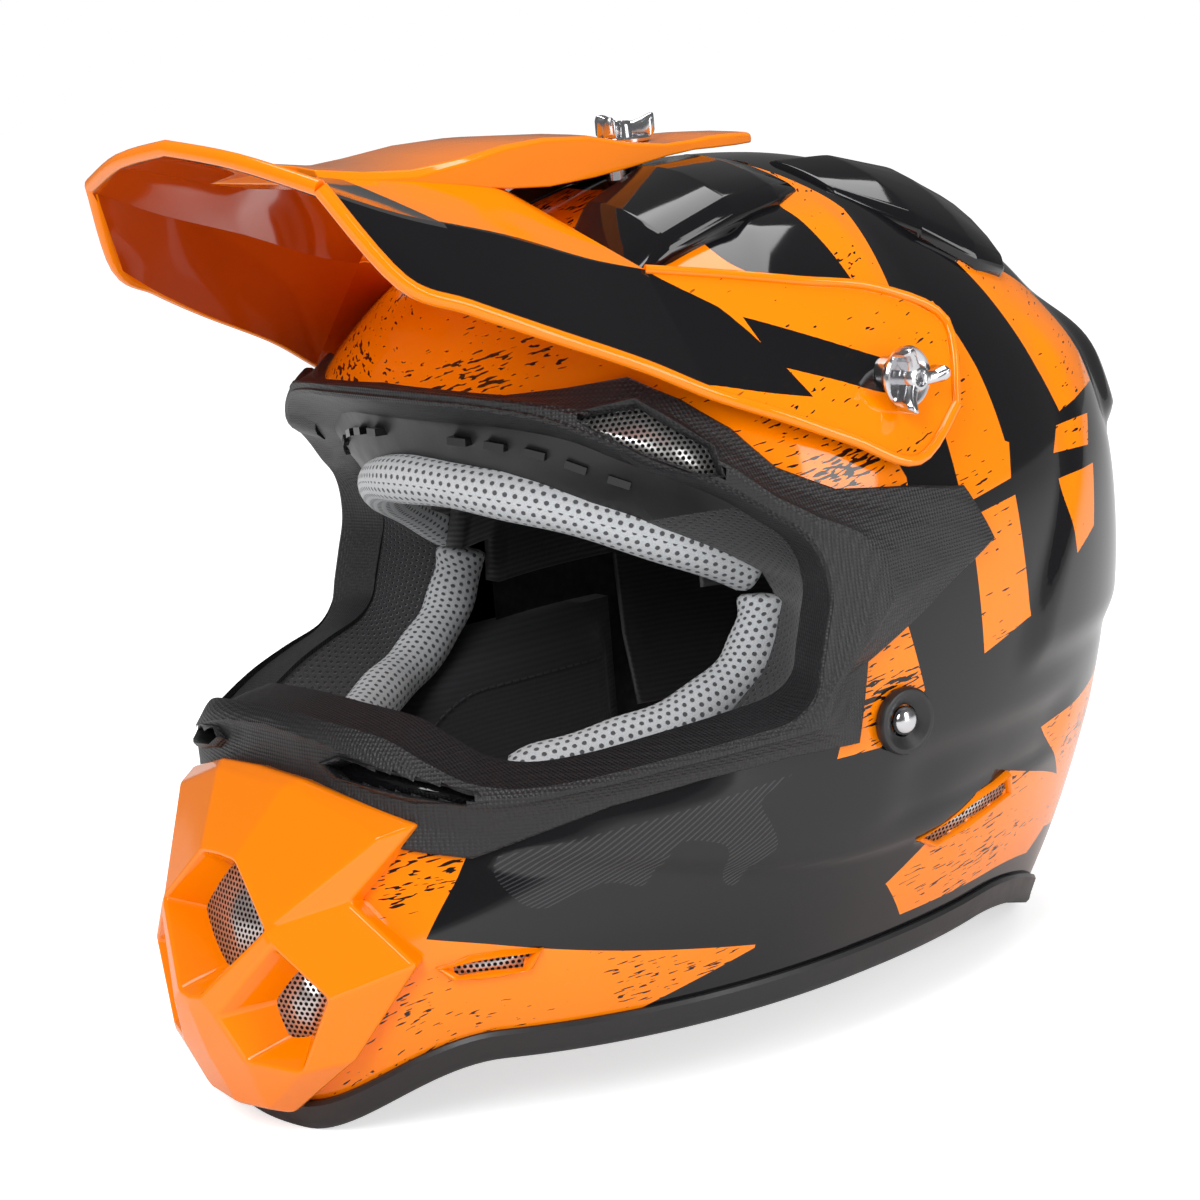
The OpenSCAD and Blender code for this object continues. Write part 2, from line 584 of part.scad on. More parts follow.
module insert(depth) color("goldenrod") difference() {
    translate([0, 0, -depth - seat_gap]) cylinder(h = depth, r = insert_r, $fn = 48);
    translate([0, 0, -40]) cylinder(h = 80, r = screw_r + shaft_play, $fn = 48);
}

// Strap anchors: a ring outside, a rivet through the shell, the webbing inside.
function rivet_at() = skin(rivet_a, rivet_z, 0);
module rivet_frame(s) translate([s * rivet_at()[0], rivet_at()[1], rivet_at()[2]]) rotate([0, s * 90, 0]) children();
module strap_ring(s) color("#1c1c1e") rivet_frame(s) difference() {
    translate([0, 0, 0.8]) cylinder(h = 3.6, r = ring_d / 2, $fn = 72);
    translate([0, 0, -5]) cylinder(h = 20, r = rivet_d / 2 + 0.3, $fn = 48);
    translate([0, 0, 3.4]) cylinder(h = 5, r1 = rivet_d / 2 + 0.3, r2 = ring_d / 2, $fn = 72);
}
module strap_rivet(s) color("silver") rivet_frame(s) {
    translate([0, 0, -shell_wall - 3]) cylinder(h = shell_wall + 4.5, r = rivet_shank_r, $fn = 36);
    translate([0, 0, 1]) cylinder(h = 2, r = rivet_d / 2, $fn = 48);
    translate([0, 0, -shell_wall - 3]) cylinder(h = 1.6, r = 6, $fn = 48);
}
module strap_room(s) rivet_frame(s)
    translate([s > 0 ? -30 : -70, -strap_w / 2 - 1.5, -shell_wall - 18]) cube([100, strap_w + 3, 38 + shell_wall]);

// The D-rings on the right: their bars side by side, the first d_bar_x from the middle, and the webbing's loop round them.
d_bar_x = 78;
d_bar_z = 20.5;
d_step = 5.5;
d_leg = 4.5;
d_bend = 9;
d_side = strap_w / 2 + 0.6 + d_wire / 2;
loop_r = d_wire / 2 + seat_gap + strap_t / 2;
// Middle of the webbing, side to side and height: down from the rivet, out under the shell and in.
strap_down = let (x = rivet_at()[0] - shell_wall - 3.8 - strap_t / 2)
    [[x, rivet_z * k[2] + 8], [x, 84], [x - 7, 56], [x - 16, 38], [d_bar_x + 12.4, 27.5], [d_bar_x + 9.5, d_bar_z + loop_r]];
strap_loop = concat(
    [[d_bar_x + 5, d_bar_z + loop_r]],
    [for (a = [90:30:270]) [d_bar_x + loop_r * cos(a), d_bar_z + loop_r * sin(a)]],
    [[d_bar_x + 6.8, d_bar_z - loop_r], [d_bar_x + 9.8, d_bar_z - 0.8], [d_bar_x + 11.8, d_bar_z + 2.9]]);
strap_end = [[d_bar_x - 4, d_bar_z + loop_r], [d_bar_x - 14, d_bar_z + loop_r]];
module strap(s, line) color("#141416") {
    n = len(line);
    loft([for (i = [0:n - 1])
        let (way = unit(line[min(n - 1, i + 1)] - line[max(0, i - 1)]), out = [-way[1], way[0]] * strap_t / 2)
        [for (q = [[1, -1], [1, 1], [-1, 1], [-1, -1]])
            [s * (line[i][0] + q[0] * out[0]), rivet_at()[1] + q[1] * strap_w / 2, line[i][1] + q[0] * out[1]]]]);
}
module d_ring(i) color("silver") translate([-d_bar_x - i * d_step, rivet_at()[1], d_bar_z]) {
    rotate([90, 0, 0]) cylinder(h = 2 * d_side, r = d_wire / 2, center = true, $fn = 36);
    for (s = [-1, 1]) {
        translate([0, s * d_side, 0]) sphere(r = d_wire / 2, $fn = 36);
        translate([0, s * d_side, -d_leg]) cylinder(h = d_leg, r = d_wire / 2, $fn = 36);
        translate([0, s * (d_side - d_bend), -d_leg]) rotate([90, 0, 90])
            rotate_extrude(angle = 90, start = s > 0 ? 270 : 180, $fn = 72)
                translate([d_bend, 0]) circle(r = d_wire / 2, $fn = 36);
    }
    translate([0, 0, -d_leg - d_bend]) rotate([90, 0, 0])
        cylinder(h = 2 * (d_side - d_bend), r = d_wire / 2, center = true, $fn = 36);
}
module strap_snap() color("dimgray")
    translate([d_bar_x - 4, rivet_at()[1], d_bar_z + loop_r - strap_t / 2 - 3.1]) cylinder(h = 3, r = 6, $fn = 48);

outer_shell();
impact_liner();
chin_bar_foam();
crown_liner();
brow_pad();
cheek_pad(1);  // cheek_pad_left
cheek_pad(-1);  // cheek_pad_right
cheek_roll(1);  // cheek_roll_left
cheek_roll(-1);  // cheek_roll_right
neck_roll();
eyeport_trim();
bottom_rim();
chin_cover();
chin_cover_mesh();
grille(brow_vent, -1.6);  // brow_mesh_left
grille(mirrored(brow_vent), -1.6);  // brow_mesh_right
grille(chin_side_vent, -1.6);  // chin_side_mesh_left
grille(mirrored(chin_side_vent), -1.6);  // chin_side_mesh_right
grille(rear_vent, -1.6);  // rear_mesh_left
grille(mirrored(rear_vent), -1.6);  // rear_mesh_right
intake_scoop(1);  // intake_scoop_left
intake_scoop(-1);  // intake_scoop_right
exhaust_cover(1);  // exhaust_cover_left
exhaust_cover(-1);  // exhaust_cover_right
peak();
peak_screw_side(1);  // peak_screw_left
peak_screw_side(-1);  // peak_screw_right
peak_screw_top();
side_frame(1) insert(12);  // insert_left
side_frame(-1) insert(12);  // insert_right
top_frame() insert(12);  // insert_top
strap_ring(1);  // strap_ring_left
strap_ring(-1);  // strap_ring_right
strap_rivet(1);  // strap_rivet_left
strap_rivet(-1);  // strap_rivet_right
strap(1, concat(strap_down, strap_end));  // chin_strap_left
strap(-1, concat(strap_down, strap_loop));  // chin_strap_right
d_ring(0);  // d_ring_inner
d_ring(1);  // d_ring_outer
strap_snap();
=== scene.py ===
import math
from contextlib import contextmanager

import bmesh
import bpy
from mathutils import Matrix, Vector


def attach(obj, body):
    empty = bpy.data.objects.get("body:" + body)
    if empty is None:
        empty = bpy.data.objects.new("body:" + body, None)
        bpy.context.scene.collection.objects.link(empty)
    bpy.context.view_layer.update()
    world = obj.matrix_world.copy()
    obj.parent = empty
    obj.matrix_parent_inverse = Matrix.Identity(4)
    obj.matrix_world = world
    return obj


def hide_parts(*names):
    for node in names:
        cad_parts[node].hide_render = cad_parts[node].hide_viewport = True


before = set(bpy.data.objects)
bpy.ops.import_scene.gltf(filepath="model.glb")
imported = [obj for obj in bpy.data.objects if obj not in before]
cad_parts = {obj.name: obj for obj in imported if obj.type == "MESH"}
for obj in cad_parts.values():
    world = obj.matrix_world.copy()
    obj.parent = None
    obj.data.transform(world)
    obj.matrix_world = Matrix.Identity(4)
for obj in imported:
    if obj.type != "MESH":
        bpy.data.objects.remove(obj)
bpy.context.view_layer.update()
MM = 0.001


# ---------------------------------------------------------------- the shell's skin, in millimetres

# Height, half width, front and back of the shell, level by level.
LEVELS = [
    (0, 99, -178, 112), (25, 106, -186, 126), (50, 112, -187, 136), (80, 118, -179, 144),
    (110, 122, -166, 149), (140, 123, -152, 150), (170, 121, -139, 147), (198, 115, -124, 137),
    (222, 103, -104, 120), (241, 86, -80, 101), (255, 66, -54, 83), (264, 44, -25, 64),
    (269, 22, 0, 43), (270, 0, 22, 22), (269, -22, 43, 0),
]
CROWN = 13
SEARCH_STEPS = 18
# Power of the plan's outline, ahead of its middle and behind.
FRONT_ROUND, BACK_ROUND = 2, 2.3
RIM_ARCH = 24
EYE_HEART = Vector((0, -10, 150))
SIDES = ((1, "left"), (-1, "right"))


def smooth(x):
    u = max(0.0, min(1.0, x))
    return u * u * (3 - 2 * u)


def mix(a, b, u):
    return a + (b - a) * u


def spline(a, b, c, d, u):
    """Catmull-Rom value u of the way from b to c, for numbers or vectors."""
    return 0.5 * (2 * b + (c - a) * u + (2 * a - 5 * b + 4 * c - d) * u * u
                  + (3 * b - a - 3 * c + d) * u ** 3)


def level(t):
    """Height, half width, front and back of the skin, t levels up."""
    i = max(0, min(CROWN - 1, math.floor(t)))
    u = t - i
    a, b, c, d = (LEVELS[max(0, i - 1)], LEVELS[i], LEVELS[i + 1], LEVELS[min(CROWN + 1, i + 2)])
    return [spline(a[n], b[n], c[n], d[n], u) for n in range(4)]


def find(z):
    """How many levels up a height is."""
    lo, hi = 0.0, float(CROWN)
    for _ in range(SEARCH_STEPS):
        m = (lo + hi) / 2
        lo, hi = (m, hi) if level(m)[0] < z else (lo, m)
    return (lo + hi) / 2


def arch(a):
    """Rise of the bottom edge at each side."""
    return RIM_ARCH * smooth((abs(a) - 8) / 34) * (1 - smooth((abs(a) - 112) / 48))


def signed(v, e):
    return math.copysign(abs(v) ** e, v)


def at(a, t):
    """Point of the skin, a degrees round from the chin and t levels up."""
    z, w, front, back = level(t)
    s, c = math.sin(math.radians(a)), math.cos(math.radians(a))
    middle = (front + back) / 2
    e = 2 / (FRONT_ROUND if c > 0 else BACK_ROUND)
    reach = middle - front if c > 0 else back - middle
    lift = arch(a) * max(0, 1 - z / 80)
    return Vector((signed(s, e) * w, middle - signed(c, e) * reach, z + lift))


def outward(a, t):
    u = max(0.05, min(CROWN - 0.12, t))
    along = at(a + 0.6, u) - at(a - 0.6, u)
    return along.cross(at(a, u + 0.05) - at(a, u - 0.05)).normalized()


def skin_t(a, t, off):
    return at(a, t) + outward(a, t) * off


def skin(a, z, off=0.0):
    return skin_t(a, find(z), off)


def front_turn(x, z):
    return math.degrees(math.asin(max(-1.0, min(1.0, x / level(find(z))[1]))))


def on_front(x, z, off):
    return skin(front_turn(x, z), z, off)


def on_top(x, y, off):
    """Point of the skin over a point of the table."""
    def plan(t):
        _, w, front, back = level(t)
        middle = (front + back) / 2
        if y < middle:
            return w, middle, middle - front, FRONT_ROUND
        return w, middle, back - middle, BACK_ROUND

    lo, hi = 5.0, float(CROWN)
    for _ in range(SEARCH_STEPS):
        m = (lo + hi) / 2
        w, middle, reach, e = plan(m)
        inside = (abs(x) / max(0.01, w)) ** e + (abs(y - middle) / max(0.01, reach)) ** e < 1
        lo, hi = (m, hi) if inside else (lo, m)
    w, middle, reach, e = plan(lo)
    a = math.degrees(math.atan2(signed(x / w, e / 2), signed((middle - y) / reach, e / 2)))
    return skin_t(a, lo, off)


# ---------------------------------------------------------------- meshes

def flip(p):
    return Vector((-p[0], p[1], p[2]))


def sided(points, s):
    """The points as they are for the left side, s = 1, or mirrored for the right."""
    return [p if s > 0 else flip(p) for p in points]


def new_piece(name, verts, faces=(), edges=()):
    """A bare mesh object from millimetre points."""
    mesh = bpy.data.meshes.new(name)
    mesh.from_pydata([Vector(v) * MM for v in verts], list(edges), list(faces))
    piece = bpy.data.objects.new(name, mesh)
    bpy.context.scene.collection.objects.link(piece)
    return piece


@contextmanager
def editing(mesh):
    bm = bmesh.new()
    bm.from_mesh(mesh)
    yield bm
    bm.to_mesh(mesh)
    bm.free()


def tag_points(mesh, name, values):
    """Stores three numbers for each point, for a material to read."""
    layer = mesh.attributes.new(name, "FLOAT_VECTOR", "POINT")
    layer.data.foreach_set("vector", [c for value in values for c in value])


def mesh_piece(name, verts, faces, material, smooth_to=35, weld=0.0):
    """A mesh object from millimetre points, welded, with its faces turned outwards."""
    piece = new_piece(name, verts, faces)
    with editing(piece.data) as bm:
        if weld:
            bmesh.ops.remove_doubles(bm, verts=bm.verts, dist=weld * MM)
        bmesh.ops.recalc_face_normals(bm, faces=bm.faces)
    piece.data.materials.append(material)
    soften(piece, smooth_to)
    return piece


def soften(piece, angle):
    """Smooth shading, with edges sharper than the angle kept hard."""
    for face in piece.data.polygons:
        face.use_smooth = True
    with editing(piece.data) as bm:
        for edge in bm.edges:
            if len(edge.link_faces) == 2:
                edge.smooth = edge.calc_face_angle(0) < math.radians(angle)


def grid_faces(rows, columns, wrap_rows=False, wrap_columns=False, keep=None):
    """Quads over rows and columns of points; keep says which cells stay."""
    faces = []
    for i in range(rows if wrap_rows else rows - 1):
        for j in range(columns if wrap_columns else columns - 1):
            if keep is None or keep(i, j):
                k, m = (i + 1) % rows, (j + 1) % columns
                faces.append((i * columns + j, i * columns + m, k * columns + m, k * columns + j))
    return faces


def loft(name, rings, material, closed=False, smooth_to=35):
    """A skin over rings of points, capped at its ends or closed round."""
    rows, columns = len(rings), len(rings[0])
    verts = [p for ring in rings for p in ring]
    faces = grid_faces(rows, columns, wrap_rows=closed, wrap_columns=True)
    if not closed:
        faces.append(tuple(range(columns))[::-1])
        faces.append(tuple((rows - 1) * columns + j for j in range(columns)))
    return mesh_piece(name, verts, faces, material, smooth_to)


def curve_points(points, steps):
    """Catmull-Rom points through a line of points."""
    pts = [Vector(p) for p in points]
    out = []
    for i in range(len(pts) - 1):
        a, b, c, d = pts[max(0, i - 1)], pts[i], pts[i + 1], pts[min(len(pts) - 1, i + 2)]
        out += [spline(a, b, c, d, s / steps) for s in range(steps)]
    return out + [pts[-1]]


def tube_rings(line, radius, sides=12):
    """Rings round a line; radius is a number or a function of the share of the way."""
    rings, n = [], len(line)
    for i, p in enumerate(line):
        way = (line[min(n - 1, i + 1)] - line[max(0, i - 1)]).normalized()
        u = way.cross(Vector((0, 0.01, 1))).normalized()
        v = way.cross(u)
        r = radius(i / (n - 1)) if callable(radius) else radius
        rings.append([p + r * (math.cos(2 * math.pi * j / sides) * u
                               + math.sin(2 * math.pi * j / sides) * v) for j in range(sides)])
    return rings


def modify(piece, **kinds):
    """Bakes a piece's modifiers into its mesh, after adding a wall or rounded edges, in millimetres."""
    for kind, value in kinds.items():
        if kind == "solidify":
            m = piece.modifiers.new("wall", "SOLIDIFY")
            m.thickness, m.offset = value * MM, -1
            m.use_even_offset = True
        elif kind == "bevel":
            m = piece.modifiers.new("edge", "BEVEL")
            m.width, m.segments, m.limit_method = value * MM, 2, "ANGLE"
            m.angle_limit = math.radians(12)
            m.use_clamp_overlap = True
            m.harden_normals = True
    bpy.context.view_layer.update()
    deps = bpy.context.evaluated_depsgraph_get()
    mesh = bpy.data.meshes.new_from_object(piece.evaluated_get(deps))
    piece.modifiers.clear()
    piece.data = mesh


def settle(piece, body="helmet", stands_for=()):
    """Rides the piece on its body, in place of the solids it stands for."""
    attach(piece, body)
    if stands_for:
        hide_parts(*stands_for)


def line_map(piece, u_of, v_of):
    """The run map worked out from each corner's point, in millimetres."""
    layer = piece.data.uv_layers.new(name="run")
    for loop in piece.data.loops:
        p = piece.data.vertices[loop.vertex_index].co / MM
        layer.data[loop.index].uv = (u_of(p), v_of(p))


def run_map(piece, columns, lap, place):
    """The run map of rows and columns that close round after lap[0] rows or lap[1] columns, where not 0."""
    layer = piece.data.uv_layers.new(name="run")
    for face in piece.data.polygons:
        spots = [list(divmod(i, columns)) for i in face.vertices]
        for axis in (0, 1):
            reach = [spot[axis] for spot in spots]
            if lap[axis] and max(reach) - min(reach) > lap[axis] / 2:
                for spot in spots:
                    spot[axis] = spot[axis] or lap[axis]
        for corner, (row, column) in zip(face.loop_indices, spots):
            layer.data[corner].uv = place(row, column)


def repeat_tree():
    """Small blocks set along a line at an even pitch: stitches, and slots in a row."""
    tree = bpy.data.node_groups.new("blocks_along_line", "GeometryNodeTree")
    inputs = {"Line": "Geometry", "Pitch": "Float", "Size": "Vector", "Material": "Material"}
    for name, kind in inputs.items():
        tree.interface.new_socket(name, in_out="INPUT", socket_type="NodeSocket" + kind)
    tree.interface.new_socket("Geometry", in_out="OUTPUT", socket_type="NodeSocketGeometry")
    given = tree.nodes.new("NodeGroupInput").outputs

    def step(kind, out, **joined):
        node = tree.nodes.new(kind)
        if kind == "GeometryNodeCurveToPoints":
            node.mode = "LENGTH"
        for socket, value in joined.items():
            tree.links.new(value, node.inputs[socket])
        return node.outputs if out is None else node.outputs[out]

    curve = step("GeometryNodeMeshToCurve", 0, Mesh=given["Line"])
    spots = step("GeometryNodeCurveToPoints", None, Curve=curve, Length=given["Pitch"])
    block = step("GeometryNodeMeshCube", 0, Size=given["Size"])
    blocks = step("GeometryNodeInstanceOnPoints", 0, Points=spots["Points"], Instance=block,
                  Rotation=spots["Rotation"])
    real = step("GeometryNodeRealizeInstances", 0, Geometry=blocks)
    done = step("GeometryNodeSetMaterial", 0, Geometry=real, Material=given["Material"])
    tree.links.new(done, tree.nodes.new("NodeGroupOutput").inputs[0])
    return tree


BLOCKS = repeat_tree()


def blocks_along(name, line, pitch, size, material):
    """A row of blocks along a line of points; size is across, deep and along, in millimetres."""
    piece = new_piece(name, line, edges=[(i, i + 1) for i in range(len(line) - 1)])
    row = piece.modifiers.new("row", "NODES")
    row.node_group = BLOCKS
    keys = {item.name: item.identifier for item in BLOCKS.interface.items_tree if item.in_out == "INPUT"}
    row[keys["Pitch"]] = pitch * MM
    row[keys["Size"]] = [v * MM for v in size]
    row[keys["Material"]] = material
    modify(piece)
    settle(piece)


# ---------------------------------------------------------------- shader maths

class Value:
    """One output of a material's node, with arithmetic."""

    def __init__(self, looks, socket):
        self.looks, self.socket = looks, socket

    def math(self, kind, *others):
        return self.looks.node("ShaderNodeMath", {"operation": kind}, dict(enumerate((self,) + others)))

    def __add__(self, other):
        return self.math("ADD", other)

    def __sub__(self, other):
        return self.math("SUBTRACT", other)

    def __rsub__(self, other):
        return self.looks.node("ShaderNodeMath", {"operation": "SUBTRACT"}, {0: other, 1: self})

    def __mul__(self, other):
        return self.math("MULTIPLY", other)

    def __truediv__(self, other):
        return self.math("DIVIDE", other)

    def __gt__(self, other):
        return self.math("GREATER_THAN", other)

    def __lt__(self, other):
        return self.math("LESS_THAN", other)

    __radd__ = __add__
    __rmul__ = __mul__

    def least(self, other):
        return self.math("MINIMUM", other)

    def most(self, other):
        return self.math("MAXIMUM", other)


class Looks:
    """A material whose surface is one Principled shader."""

    def __init__(self, name, **values):
        self.material = bpy.data.materials.new(name)
        self.material.use_nodes = True
        self.tree = self.material.node_tree
        self.shader = self.tree.nodes["Principled BSDF"]
        self.set(**values)

    def set(self, **values):
        for key, value in values.items():
            self.join(value, self.shader.inputs[key.replace("_", " ")])

    def join(self, value, socket):
        if isinstance(value, Value):
            self.tree.links.new(value.socket, socket)
        elif isinstance(value, (tuple, list)) and len(value) == 3 and socket.type == "RGBA":
            socket.default_value = (*value, 1)
        else:
            socket.default_value = value

    def node(self, kind, settings=None, inputs=None, out=0):
        node = self.tree.nodes.new(kind)
        for key, value in (settings or {}).items():
            if key == "stops":
                ramp = node.color_ramp
                while len(ramp.elements) < len(value):
                    ramp.elements.new(1)
                for element, (place, shade) in zip(ramp.elements, value):
                    element.position, element.color = place, (shade, shade, shade, 1)
            else:
                setattr(node, key, value)
        for key, value in (inputs or {}).items():
            self.join(value, node.inputs[key])
        return Value(self, node.outputs[out])

    def place(self):
        return self.node("ShaderNodeTexCoord", out="Object")

    def stored(self, name):
        return self.node("ShaderNodeAttribute", {"attribute_name": name}, out="Vector")

    def parts(self, vector):
        split = self.node("ShaderNodeSeparateXYZ", None, {0: vector}).socket.node
        return [Value(self, split.outputs[i]) for i in range(3)]

    def join3(self, x, y, z):
        return self.node("ShaderNodeCombineXYZ", None, {0: x, 1: y, 2: z})

    def scaled(self, vector, size, turn=(0, 0, 0)):
        return self.node("ShaderNodeMapping", None, {"Vector": vector, "Scale": size, "Rotation": turn})

    def noise(self, vector, scale, detail=2.0, rough=0.5):
        return self.node("ShaderNodeTexNoise", None,
                         {"Vector": vector, "Scale": scale, "Detail": detail, "Roughness": rough})

    def cells(self, vector, scale, random=1.0, feature="F1"):
        return self.node("ShaderNodeTexVoronoi", {"feature": feature},
                         {"Vector": vector, "Scale": scale, "Randomness": random}, "Distance")

    def ramp(self, value, *stops):
        return self.node("ShaderNodeValToRGB", {"stops": stops}, {0: value})

    def tint(self, mask, a, b):
        return self.node("ShaderNodeMix", {"data_type": "RGBA"}, {0: mask, 6: a, 7: b}, 2)

    def bump(self, height, deep):
        """A surface that rises by deep millimetres where height is 1."""
        return self.node("ShaderNodeBump", None, {"Height": height, "Distance": deep * MM, "Strength": 1.0})

    def inside(self, u, v, outline):
        """1 inside a convex outline of two coordinates, else 0."""
        n = len(outline)
        turn = sum(outline[i][0] * outline[(i + 1) % n][1] - outline[(i + 1) % n][0] * outline[i][1]
                   for i in range(n))
        side = 1 if turn > 0 else -1
        room = None
        for i in range(n):
            (u0, v0), (u1, v1) = outline[i], outline[(i + 1) % n]
            du, dv = side * (v0 - v1), side * (u1 - u0)
            d = u * du + (v * dv + -(u0 * du + v0 * dv))
            room = d if room is None else room.least(d)
        return room > 0


ORANGE = (1.0, 0.235, 0.0)
# Darker copy of the orange, painted shade for the peak's underside.
SHADED_ORANGE = (0.46, 0.052, 0.002)
BLACK = (0.006, 0.006, 0.007)
MARK = (0.012, 0.008, 0.006)


def dashes(looks, u, v, amount=0.0):
    """Short dark dashes in loose clusters, drawn along u; u and v are in millimetres."""
    fine = looks.noise(looks.join3(u * 0.2, v * 0.85, 0.0), 1.0, 1.0, 0.6)
    broad = looks.noise(looks.join3(u * 0.016, v * 0.035, 3.0), 1.0, 3.0, 0.65)
    return (fine + broad * 0.9) > (1.13 - amount)


def glossy(looks, colour):
    """Clear lacquer with a faint ripple, over a colour."""
    place = looks.place()
    ripple = looks.noise(place, 34, 1.0)
    looks.set(Base_Color=colour, Roughness=0.07, Normal=looks.bump(ripple, 0.08))


def plain_gloss(name, colour):
    looks = Looks(name)
    glossy(looks, colour)
    return looks.material


def livery():
    """Orange and black lacquer of the shell, from the turn, height and roll of each point."""
    looks = Looks("shell_lacquer")
    turn, height, roll = looks.parts(looks.stored("wrap"))
    place = looks.place()
    y = looks.parts(place)[1] * 1000
    # Orange fields by turn and height round the sides, and by y and roll over the top.
    round_fields = [
        [(0, 0), (27, 0), (34, 86), (30, 110), (0, 110)],
        [(0, 0), (30, 0), (31, 59), (31, 62), (0, 62)],
        [(25, 0), (50, 0), (74, 29), (74, 30.5), (47, 48.5), (31, 59), (25, 50)],
        [(0, 190), (84, 160), (83, 178), (80, 190), (67, 235), (40, 264), (0, 264)],
        [(71, 105), (81, 95), (81, 96.5), (72, 99)],
        [(77, 122), (83, 138), (88, 113), (83, 99), (77, 99)],
        [(91, 40), (95, 55), (106, 72), (124, 55), (132, 36), (126, 20), (95, 20)],
        [(124, 55), (180, 74), (180, 30), (126, 30)],
        [(112, 84), (150, 96), (180, 92), (180, 70), (124, 55)],
    ]
    over_fields = [
        [(24, 12), (29, 17), (19, 31), (22, 47), (3, 48), (-5, 45), (-3, 29), (8, 14)],
        [(-32, 33), (-25, 31), (-22, 43), (-5, 45), (-10, 60), (-50, 60), (-60, 40)],
        [(8, 50), (25, 49.5), (29, 60), (35, 71), (6, 66)],
        [(6, 66), (35, 71), (33, 76), (9, 78)],
        [(11, 80), (34, 78.5), (38, 97), (14, 100)],
        [(47, 43), (69, 43), (92, 45), (100, 63), (68, 68), (61, 61)],
        [(64, 70), (85, 69), (80, 74), (59, 74)],
        [(60, 78), (82, 77), (78, 87), (64, 90)],
        [(40, -1), (130, -1), (130, 9), (60, 9)],
    ]
    fields = [looks.inside(turn, height, outline) for outline in round_fields]
    fields += [looks.inside(y, roll, outline) for outline in over_fields]
    mask = fields[0]
    for field in fields[1:]:
        mask = mask.most(field)
    marks = dashes(looks, turn * 2.1 + height * 0.3, height - turn * 0.5)
    colour = looks.tint(mask, BLACK, ORANGE)
    colour = looks.tint(marks * mask, colour, MARK)
    # Faint slanting lines in the black of the jaw.
    line = (y * 0.42 + height * -0.62).math("FRACT")
    cluster = looks.noise(looks.scaled(place, (22, 22, 30)), 1.0, 1.0)
    jaw = looks.inside(turn, height, [(32, 84), (31, 59), (65, 36), (91, 43), (95, 60), (72, 98)])
    hatch = (line > 0.66) * (cluster > 0.5) * jaw * (1 - mask)
    colour = looks.tint(hatch, colour, (0.035, 0.035, 0.038))
    glossy(looks, colour)
    return looks.material


def grained_rubber():
    looks = Looks("grained_rubber", Base_Color=(0.014, 0.014, 0.0155))
    place = looks.place()
    grain = looks.cells(place, 900, 0.12)
    looks.set(Roughness=looks.ramp(looks.noise(place, 60, 2), (0.3, 0.42), (0.7, 0.5)),
              Normal=looks.bump(grain, 0.35))
    return looks.material


def satin_rubber():
    looks = Looks("satin_rubber", Base_Color=(0.016, 0.016, 0.017))
    looks.set(Roughness=looks.ramp(looks.noise(looks.place(), 90, 3), (0.3, 0.36), (0.7, 0.46)),
              Normal=looks.bump(looks.noise(looks.place(), 420, 2), 0.05))
    return looks.material


def spacer_cloth(name, ground, hole, pitch=3.0):
    """Pale knitted mesh with rows of dark oval holes, on the piece's own run map."""
    looks = Looks(name)
    u, v, _ = looks.parts(looks.node("ShaderNodeUVMap", {"uv_map": "run"}))
    row = (v / (pitch * 0.9)).math("FLOOR")
    shift = (row * 0.5).math("FRACT")
    x = ((u / pitch) + shift).math("FRACT") - 0.5
    y = (v / (pitch * 0.9)).math("FRACT") - 0.5
    far = ((x * x) * 1.7 + (y * y) * 1.25).math("SQRT")
    dot = looks.ramp(far, (0.25, 1.0), (0.33, 0.0))
    weave = looks.noise(looks.join3(u * 2.2, v * 2.2, 0.0), 1.0, 2.0)
    shade = looks.ramp(weave, (0.35, 0.82), (0.65, 1.0))
    colour = looks.tint(dot, ground, hole)
    colour = looks.node("ShaderNodeMix", {"data_type": "RGBA", "blend_type": "MULTIPLY"},
                        {0: 1.0, 6: colour, 7: shade}, 2)
    looks.set(Base_Color=colour, Roughness=0.85,
              Normal=looks.bump((1 - dot) + weave * 0.2, 0.5))
    looks.shader.inputs["Sheen Weight"].default_value = 0.3
    return looks.material


def dark_cloth():
    looks = Looks("lining_cloth")
    place = looks.place()
    wave = looks.node("ShaderNodeTexWave", {"bands_direction": "Z"},
                      {"Vector": place, "Scale": 170.0, "Distortion": 0.5, "Detail": 1.0})
    fuzz = looks.noise(place, 700, 2)
    colour = looks.tint(wave, (0.016, 0.016, 0.018), (0.022, 0.022, 0.025))
    looks.set(Base_Color=colour, Roughness=0.9, Normal=looks.bump(wave * 0.5 + fuzz * 0.5, 0.2))
    looks.shader.inputs["Sheen Weight"].default_value = 0.25
    return looks.material


def plain_cloth(name, colour):
    looks = Looks(name, Base_Color=colour)
    looks.set(Roughness=0.8, Normal=looks.bump(looks.noise(looks.place(), 900, 2), 0.1))
    return looks.material


def bead_foam():
    looks = Looks("bead_foam")
    cell = looks.cells(looks.place(), 300)
    looks.set(Base_Color=looks.tint(cell, (0.03, 0.03, 0.033), (0.012, 0.012, 0.014)),
              Roughness=0.75, Normal=looks.bump(cell, -0.25))
    return looks.material


